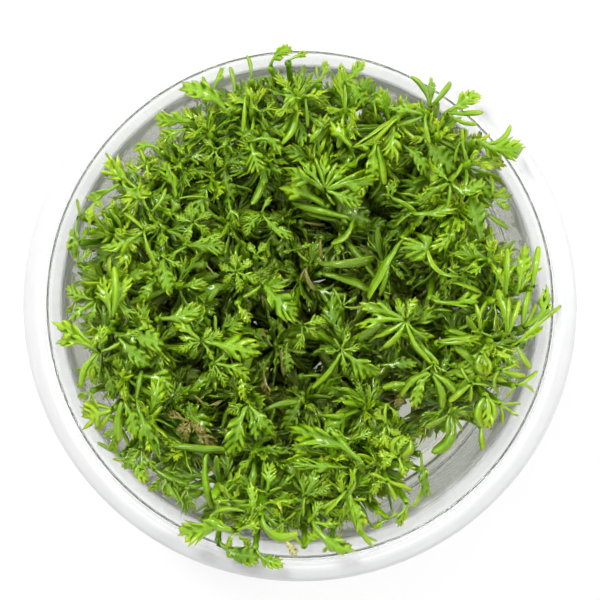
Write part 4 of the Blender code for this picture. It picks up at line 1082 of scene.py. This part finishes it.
def leaf_material(looks):
    """Fleshy wet leaf: dark to lime by its freshness, which holds its age together with painted light and painted
    shade, with a pale midrib, side veins, blotches and a soft gloss.
    """
    wiring = Wiring("fleshy_wet_leaf")
    plus, minus, times, mixed, spanned = (
        wiring.plus, wiring.minus, wiring.times, wiring.mixed, wiring.spanned)
    from_left, along, _ = wiring.parts(wiring.node("ShaderNodeUVMap", uv_map="leaf_map").outputs["UV"])
    across = wiring.maths("ABSOLUTE", minus(from_left, 0.5))
    freshness, tone, wilt = (
        wiring.node("ShaderNodeAttribute", attribute_name=name).outputs["Fac"]
        for name in ("freshness", "tone", "wilt"))
    blotches = wiring.noise(420, 4, 0.6)
    mottle = wiring.noise(1500, 3, 0.6)
    freshness = plus(freshness, times(minus(blotches, 0.5), 0.42))
    freshness = plus(freshness, times(minus(mottle, 0.5), 0.16), clamp=True)
    # The ramp's greens stand for the leaves' age together with painted light and painted shade.
    ramp = wiring.node("ShaderNodeValToRGB", Fac=freshness)
    stops = ramp.color_ramp.elements
    stops[0].position, stops[0].color = 0.0, (*looks.shade_green, 1)
    stops[1].position, stops[1].color = 0.98, (*looks.lime, 1)
    for at, colour in ((0.33, looks.deep_green), (0.68, looks.bright_green)):
        stops.new(at).color = (*colour, 1)
    warmed = mixed(spanned(tone, 0.55, 1.0, 0, 0.45), ramp.outputs[0], (1.25, 1.1, 0.8), "MULTIPLY")
    cooled = mixed(spanned(tone, 0.45, 0.0, 0, 0.5), warmed, (0.66, 0.86, 1.3), "MULTIPLY")
    rib = spanned(across, 0.028, 0.004)
    veins = wiring.maths("SINE", times(minus(along, times(across, 0.9)), 75))
    vein_lines = times(spanned(veins, 0.82, 1.0), spanned(across, 0.16, 0.02))
    lines = wiring.maths("MAXIMUM", times(rib, 0.22), times(vein_lines, 0.12))
    veined = mixed(lines, cooled, mixed(0.5, cooled, (0.5, 0.66, 0.16)))
    speck = spanned(wiring.noise(900, 5, 0.7), 0.62, 0.72, 0, 0.5)
    browned = mixed(plus(wilt, times(wilt, speck), clamp=True), veined, looks.wilted)
    relief = plus(plus(times(blotches, 0.9), times(lines, -0.8)), times(mottle, 0.7))
    return wiring.finish({
        "Base Color": mixed(times(wilt, -1.0, clamp=True), browned, looks.yellowed),
        "Roughness": spanned(mottle, 0.3, 0.7, 0.24, 0.46),
        "IOR": 1.42,
        "Normal": wiring.bump(relief, 0.7, 0.4 * MM),
        "Subsurface Weight": 0.7,
        "Subsurface Radius": (0.8, 1.0, 0.1),
        "Subsurface Scale": 1.2 * MM,
        "Specular IOR Level": 0.4,
        "Specular Tint": (0.9, 1.0, 0.55),
        "Coat Weight": 0.9,
        "Coat Roughness": 0.1,
        "Coat IOR": 1.38,
        "Coat Normal": wiring.bump(blotches, 0.25, 0.3 * MM),
    })


def clear_plastic_material(looks, seat):
    """Clear at the rim; under the lid's seat the wet inner wall is hazed by droplets and a film of jelly."""
    wiring = Wiring("clear_moulded_plastic")
    plus, minus, times, mixed, spanned = (
        wiring.plus, wiring.minus, wiring.times, wiring.mixed, wiring.spanned)
    x, y, height = wiring.parts(wiring.place)
    level = wiring.node("ShaderNodeCombineXYZ", X=x, Y=y)
    length = wiring.node("ShaderNodeVectorMath", operation="LENGTH")
    wiring.feed(length.inputs[0], level.outputs[0])
    reach = length.outputs["Value"]
    haze = wiring.noise(60, 4, 0.6)
    mouth = looks.mouth_radius
    under = spanned(height, seat + 0.8 * MM, seat - 0.6 * MM)
    film = times(under, spanned(haze, 0.2, 0.8, 0.75, 1.0))
    # The lid's seat is faintly frosted, the flat rim more, and its turned-down edge the most.
    seat_band = times(
        spanned(reach, looks.ledge_radius + 0.6 * MM, looks.ledge_radius + 1.2 * MM),
        spanned(reach, mouth + 0.1 * MM, mouth - 0.3 * MM))
    flange = spanned(reach, mouth + 0.6 * MM, mouth + 1.2 * MM)
    edge = spanned(reach, looks.rim_radius - 3.0 * MM, looks.rim_radius - 2.2 * MM)
    ring = times(
        spanned(height, seat - 5 * MM, seat - 2.5 * MM), spanned(height, seat + 2.6 * MM, seat + 1.4 * MM))
    clear = 0.995
    for share, amount in ((film, 0.025), (seat_band, 0.12), (ring, 0.24), (flange, 0.37), (edge, 0.1)):
        clear = minus(clear, times(share, amount))
    rough = spanned(haze, 0.3, 0.8, 0.01, 0.04)
    for share, amount in ((film, 0.04), (flange, 0.3), (ring, 0.2)):
        rough = plus(rough, times(share, amount))
    drops = times(under, spanned(wiring.noise(1100, 2, 0.6), 0.55, 0.7))
    colour = mixed(flange, mixed(film, looks.tint, looks.film_tint), looks.flange_tint)
    return wiring.finish({
        "Base Color": mixed(edge, colour, [0.95 * part for part in looks.flange_tint]),
        "Roughness": rough,
        "Transmission Weight": clear,
        "IOR": 1.4,
        "Normal": wiring.bump(plus(wiring.noise(35, 2, 0.5), times(drops, 0.6)), 0.15, 0.2 * MM),
    })


def jelly_material(looks):
    """Clear gel with a faint haze and a gently uneven surface."""
    wiring = Wiring("nutrient_jelly_gel")
    return wiring.finish({
        "Base Color": looks.tint,
        "Roughness": wiring.spanned(wiring.noise(90, 4, 0.6), 0.3, 0.8, 0.1, 0.3),
        "Transmission Weight": 0.9,
        "IOR": 1.34,
        "Normal": wiring.bump(wiring.noise(160, 3, 0.5), 0.35, 0.5 * MM),
    })


def table_material(looks):
    """Pale matt table with a faint cloud, lit a little from within."""
    wiring = Wiring("pale_table")
    pale = looks.floor_colour
    return wiring.finish({
        "Base Color": wiring.mixed(wiring.noise(6, 3, 0.5), pale, [0.985 * part for part in pale]),
        "Roughness": 0.7,
        "Specular IOR Level": 0.2,
        "Emission Color": (1, 1, 1),
        "Emission Strength": looks.floor_glow,
    })


# Turned pieces

def turn_profile(name, profile, segments):
    """Draws a ring out and up along a profile that starts and ends on the upright axis."""
    let_go()
    radius, height = profile[1]
    bpy.ops.mesh.primitive_circle_add(vertices=segments, radius=radius, fill_type="NGON", location=(0, 0, 0))
    piece = bpy.context.object
    piece.name = name
    shaping = Shaping()
    bpy.ops.mesh.select_all(action="SELECT")
    shaping.shift((0, 0, height))
    bpy.ops.mesh.select_all(action="SELECT")
    for reach, level in profile[2:-1]:
        shaping.draw_out((0, 0, level - height))
        shaping.resize((reach / radius, reach / radius, 1), (0, 0, level))
        radius, height = reach, level
    bpy.ops.mesh.inset(thickness=radius * 0.6)
    bpy.ops.mesh.select_all(action="SELECT")
    bpy.ops.mesh.normals_make_consistent(inside=False)
    shaping.done()
    bpy.ops.object.shade_smooth_by_angle(angle=math.radians(38))
    return piece


def rounded(corners, radius, steps=4):
    """A profile with its inner corners rounded, as (reach, height) pairs."""
    points = [Vector(corners[0])]
    for before, corner, after in zip(corners, corners[1:], corners[2:]):
        before, corner, after = Vector(before[:2]), Vector(corner[:2]), Vector(after[:2])
        size = min(radius, 0.45 * (before - corner).length, 0.45 * (after - corner).length)
        start = corner + (before - corner).normalized() * size
        end = corner + (after - corner).normalized() * size
        points += [arc(step / steps, start, corner, end)[0] for step in range(steps + 1)]
    points.append(Vector(corners[-1]))
    return [tuple(point) for point in points]


class PLANTCUP_OT_make_cup(bpy.types.Operator):
    """Turn the clear cup with its foot, lid seat and turned-down rim"""

    bl_idname = "plantcup.make_cup"
    bl_label = "Make Cup"

    def execute(self, context):
        looks = context.scene.plant_cup
        wall, floor = looks.wall, looks.floor_radius
        ledge, mouth, rim = looks.ledge_radius, looks.mouth_radius, looks.rim_radius
        top, seat = looks.height, looks.ledge_height
        foot = floor - 0.2 * MM
        corners = [
            (0, 1.0 * MM), (foot - 3.4 * MM, 1.0 * MM), (foot - 2.8 * MM, 0), (foot, 0), (floor + wall, 1.4 * MM),
            (ledge + wall, seat - 0.4 * MM), (mouth + 0.6 * MM, top - wall), (rim - 2.4 * MM, top - wall),
            (rim - wall, top - 3.6 * MM), (rim, top - 3.6 * MM), (rim, top - 1.8 * MM),
            (rim - 0.5 * MM, top - 0.6 * MM), (rim - 2.0 * MM, top), (rim - 2.6 * MM, top),
            (rim - 2.8 * MM, top - 0.06 * MM), (rim - 3.1 * MM, top - 0.06 * MM), (rim - 3.3 * MM, top),
            (mouth + 0.5 * MM, top), (mouth + 0.42 * MM, top - 0.25 * MM),
            (mouth - 0.02 * MM, top - 0.3 * MM), (mouth - 0.35 * MM, top - 1.4 * MM),
            (ledge + 0.9 * MM, seat + 1.1 * MM), (ledge + 0.35 * MM, seat + 0.75 * MM), (ledge, seat),
            (floor + 0.02 * MM, looks.floor_height + 1.2 * MM), (floor - 1.2 * MM, looks.floor_height),
            (0, looks.floor_height),
        ]
        cup = turn_profile("clear_cup", rounded(corners, 0.35 * MM, 3), 192)
        cup.data.materials.append(clear_plastic_material(looks, seat))
        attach(cup, "root")
        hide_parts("cup")
        return {"FINISHED"}


class PLANTCUP_OT_pour_jelly(bpy.types.Operator):
    """Fill the foot of the cup with nutrient jelly that climbs a little at the wall"""

    bl_idname = "plantcup.pour_jelly"
    bl_label = "Pour Jelly"

    def execute(self, context):
        looks, cup = context.scene.plant_jelly, context.scene.plant_cup
        gap = 0.12 * MM
        low = cup.floor_height + gap
        slope = (cup.ledge_radius - cup.floor_radius) / (cup.ledge_height - cup.floor_height)
        reach = cup.floor_radius + slope * (looks.surface - cup.floor_height) - gap
        level = looks.surface
        corners = [
            (0, low), (cup.floor_radius - 1.35 * MM, low), (cup.floor_radius - 0.1 * MM, low + 1.25 * MM),
            (reach, level), (reach - 0.5 * MM, level - 0.35 * looks.creep),
            (reach - 1.6 * MM, level - 0.8 * looks.creep), (reach - 3.2 * MM, level - looks.creep),
            (0, level - looks.creep),
        ]
        jelly = turn_profile("clear_nutrient_jelly", rounded(corners, 0.6 * MM, 3), 160)
        jelly.data.materials.append(jelly_material(looks))
        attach(jelly, "root")
        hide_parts("nutrient_jelly")
        return {"FINISHED"}


class PLANTCUP_OT_grow_shoots(bpy.types.Operator):
    """Clothe every shoot: a stem with swollen nodes and whorls of lobed leaves, joined into one piece each"""

    bl_idname = "plantcup.grow_shoots"
    bl_label = "Grow Shoots"

    def execute(self, context):
        looks = context.scene.plant_foliage
        chance = random.Random(looks.seed)
        patterns = {form: model_leaf(form, looks.leaf_thickness) for form in LEAF_FORMS}
        stem, thread = model_stem(sides=9, rows=22), model_stem(sides=5, rows=8)
        material = leaf_material(looks)
        shoots = [Shoot(name) for name in SHOOT_NODES]
        crowd = Crowd()
        crowns, side_stems = crown_leaves(shoots, chance)
        for found in crowns.values():
            for leaf in found:
                crowd.show(leaf)
        grown = {}
        for shoot in shoots:
            crowd.gather(shoot.top)
            kept = [leaf for leaf in solid_leaves(shoot, chance) if crowd.hidden(leaf.feelers()) < 2]
            for leaf in kept:
                crowd.add(leaf)
            grown[shoot.node] = kept
        for shoot in shoots:
            grown[shoot.node] += extra_leaves(shoot, crowd, chance)
        for shoot in shoots:
            joined = Joined()
            share = stem.points[:, 2]
            # The stem is coloured darker low down: partly older, partly painted shade deep in the cup. It also takes
            # the painted light of its top's place.
            stem_fresh_and_lit = np.clip(0.1 + 0.62 * share**2 + 0.3 * height_light_and_youth(shoot.top), 0.05, 0.8)
            stem_map = np.column_stack([0.1 + 0 * share, share])
            joined.add(stem, stem_points(shoot, stem), stem_fresh_and_lit, chance.random(), 0.0, stem_map)
            for start, knee, root, freshness in side_stems[shoot.node]:
                points = kept_in(curved_stem_points(stem, start, knee, root, *SIDE_STEM))
                fresh_and_lit = np.clip(freshness - 0.3 + 0.2 * share, 0.1, 0.7)
                joined.add(stem, points, fresh_and_lit, chance.random(), 0.0, stem_map)
            for knee, end in root_lines(shoot, chance):
                points = curved_stem_points(thread, shoot.foot + [0, 0, 0.3 * MM], knee, end, *ROOT_THREAD)
                joined.add(thread, points, 0.3, 0.5, -1.0)
            shoot_tone = chance.uniform(-0.2, 0.2)
            shoot_fresh = chance.uniform(-0.12, 0.1)
            for leaf in grown[shoot.node]:
                pattern = patterns[leaf.form]
                points = laid_along(leaf, pattern, chance, looseness=1.0)
                # Each leaf is coloured lighter high up and near the edge and darker deep in and toward the middle:
                # painted light and painted shade, on top of its age and tone.
                fresh_and_lit = leaf.freshness + height_light_and_youth(leaf.middle) + shoot_fresh + chance.uniform(-0.16, 0.14)
                tone = chance.uniform(0.2, 0.8) + shoot_tone
                joined.add_leaf(leaf, pattern, points, fresh_and_lit, tone, 0.22, 0.5)
            for leaf in crowns[shoot.node]:
                pattern = patterns[leaf.form]
                points = laid_along(leaf, pattern, chance, looseness=0.35)
                joined.add_leaf(leaf, pattern, points, leaf.freshness, chance.uniform(0.25, 0.85), 0.24, 0.4)
            piece = joined.piece(f"{shoot.node}_foliage", material)
            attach(piece, "root")
            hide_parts(shoot.node)
        return {"FINISHED"}


class PLANTCUP_OT_set_stage(bpy.types.Operator):
    """Lay the pale table, hang the soft lights and set the camera straight above the cup"""

    bl_idname = "plantcup.set_stage"
    bl_label = "Set Stage"

    def execute(self, context):
        looks = context.scene.plant_stage
        let_go()
        bpy.ops.mesh.primitive_plane_add(size=looks.floor_width, location=(0, 0, 0))
        table = context.object
        table.name = "pale_table"
        shaping = Shaping()
        bpy.ops.mesh.select_all(action="SELECT")
        bpy.ops.mesh.subdivide(number_cuts=3)
        shaping.done()
        table.data.materials.append(table_material(looks))
        table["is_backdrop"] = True
        world = bpy.data.worlds.new("even_sky")
        world.use_nodes = True
        sky = world.node_tree.nodes["Background"]
        sky.inputs["Color"].default_value = (1, 1, 1, 1)
        sky.inputs["Strength"].default_value = looks.sky
        context.scene.world = world
        for name, place, size, power in (
            ("softbox_behind", (-0.4, 0.62, 0.95), 0.5, looks.softbox),
            ("softbox_side", (0.75, 0.25, 0.8), 0.3, 0.45 * looks.softbox),
        ):
            bpy.ops.object.light_add(type="AREA", location=place)
            light = context.object
            light.name = name
            light.data.shape = "DISK"
            light.data.size = size
            light.data.energy = power
            light.rotation_euler = (Vector((0, 0, 0.05)) - Vector(place)).to_track_quat("-Z", "Y").to_euler()
        rim = context.scene.plant_cup.height
        bpy.ops.object.camera_add(location=(0, looks.view_middle, rim + looks.camera_height), rotation=(0, 0, 0))
        camera = context.object
        camera.name = "view_from_above"
        camera.data.sensor_width = 36
        camera.data.lens = 36 * looks.camera_height / looks.view_width
        camera.data.clip_start = 0.01
        context.scene.camera = camera
        context.scene.view_settings.view_transform = "Standard"
        return {"FINISHED"}


class PLANTCUP_PT_panel(bpy.types.Panel):
    """Lists the steps that dress the plant cup"""

    bl_idname = "PLANTCUP_PT_panel"
    bl_label = "Plant Cup"
    bl_space_type = "VIEW_3D"
    bl_region_type = "UI"
    bl_category = "Plant Cup"

    def draw(self, context):
        layout = self.layout
        for step in STEPS:
            layout.operator(step.bl_idname)
        for name in LOOKS:
            column = layout.column(align=True)
            looks = getattr(context.scene, name)
            for key in looks.bl_rna.properties.keys():
                if key not in ("rna_type", "name"):
                    column.prop(looks, key)


STEPS = (PLANTCUP_OT_make_cup, PLANTCUP_OT_pour_jelly, PLANTCUP_OT_grow_shoots, PLANTCUP_OT_set_stage)
LOOKS = {"plant_cup": CupLooks, "plant_jelly": JellyLooks, "plant_foliage": FoliageLooks, "plant_stage": StageLooks}


def register():
    for name, group in LOOKS.items():
        bpy.utils.register_class(group)
        setattr(bpy.types.Scene, name, PointerProperty(type=group))
    for step in STEPS:
        bpy.utils.register_class(step)
    bpy.utils.register_class(PLANTCUP_PT_panel)


def unregister():
    bpy.utils.unregister_class(PLANTCUP_PT_panel)
    for step in reversed(STEPS):
        bpy.utils.unregister_class(step)
    for name, group in LOOKS.items():
        delattr(bpy.types.Scene, name)
        bpy.utils.unregister_class(group)


def main():
    register()
    bpy.ops.plantcup.make_cup()
    bpy.ops.plantcup.pour_jelly()
    bpy.ops.plantcup.grow_shoots()
    bpy.ops.plantcup.set_stage()
    sizes = [[list(map(float, corner)) for corner in box] for box in (CAD_BOX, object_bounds())]


if __name__ == "__main__":
    main()
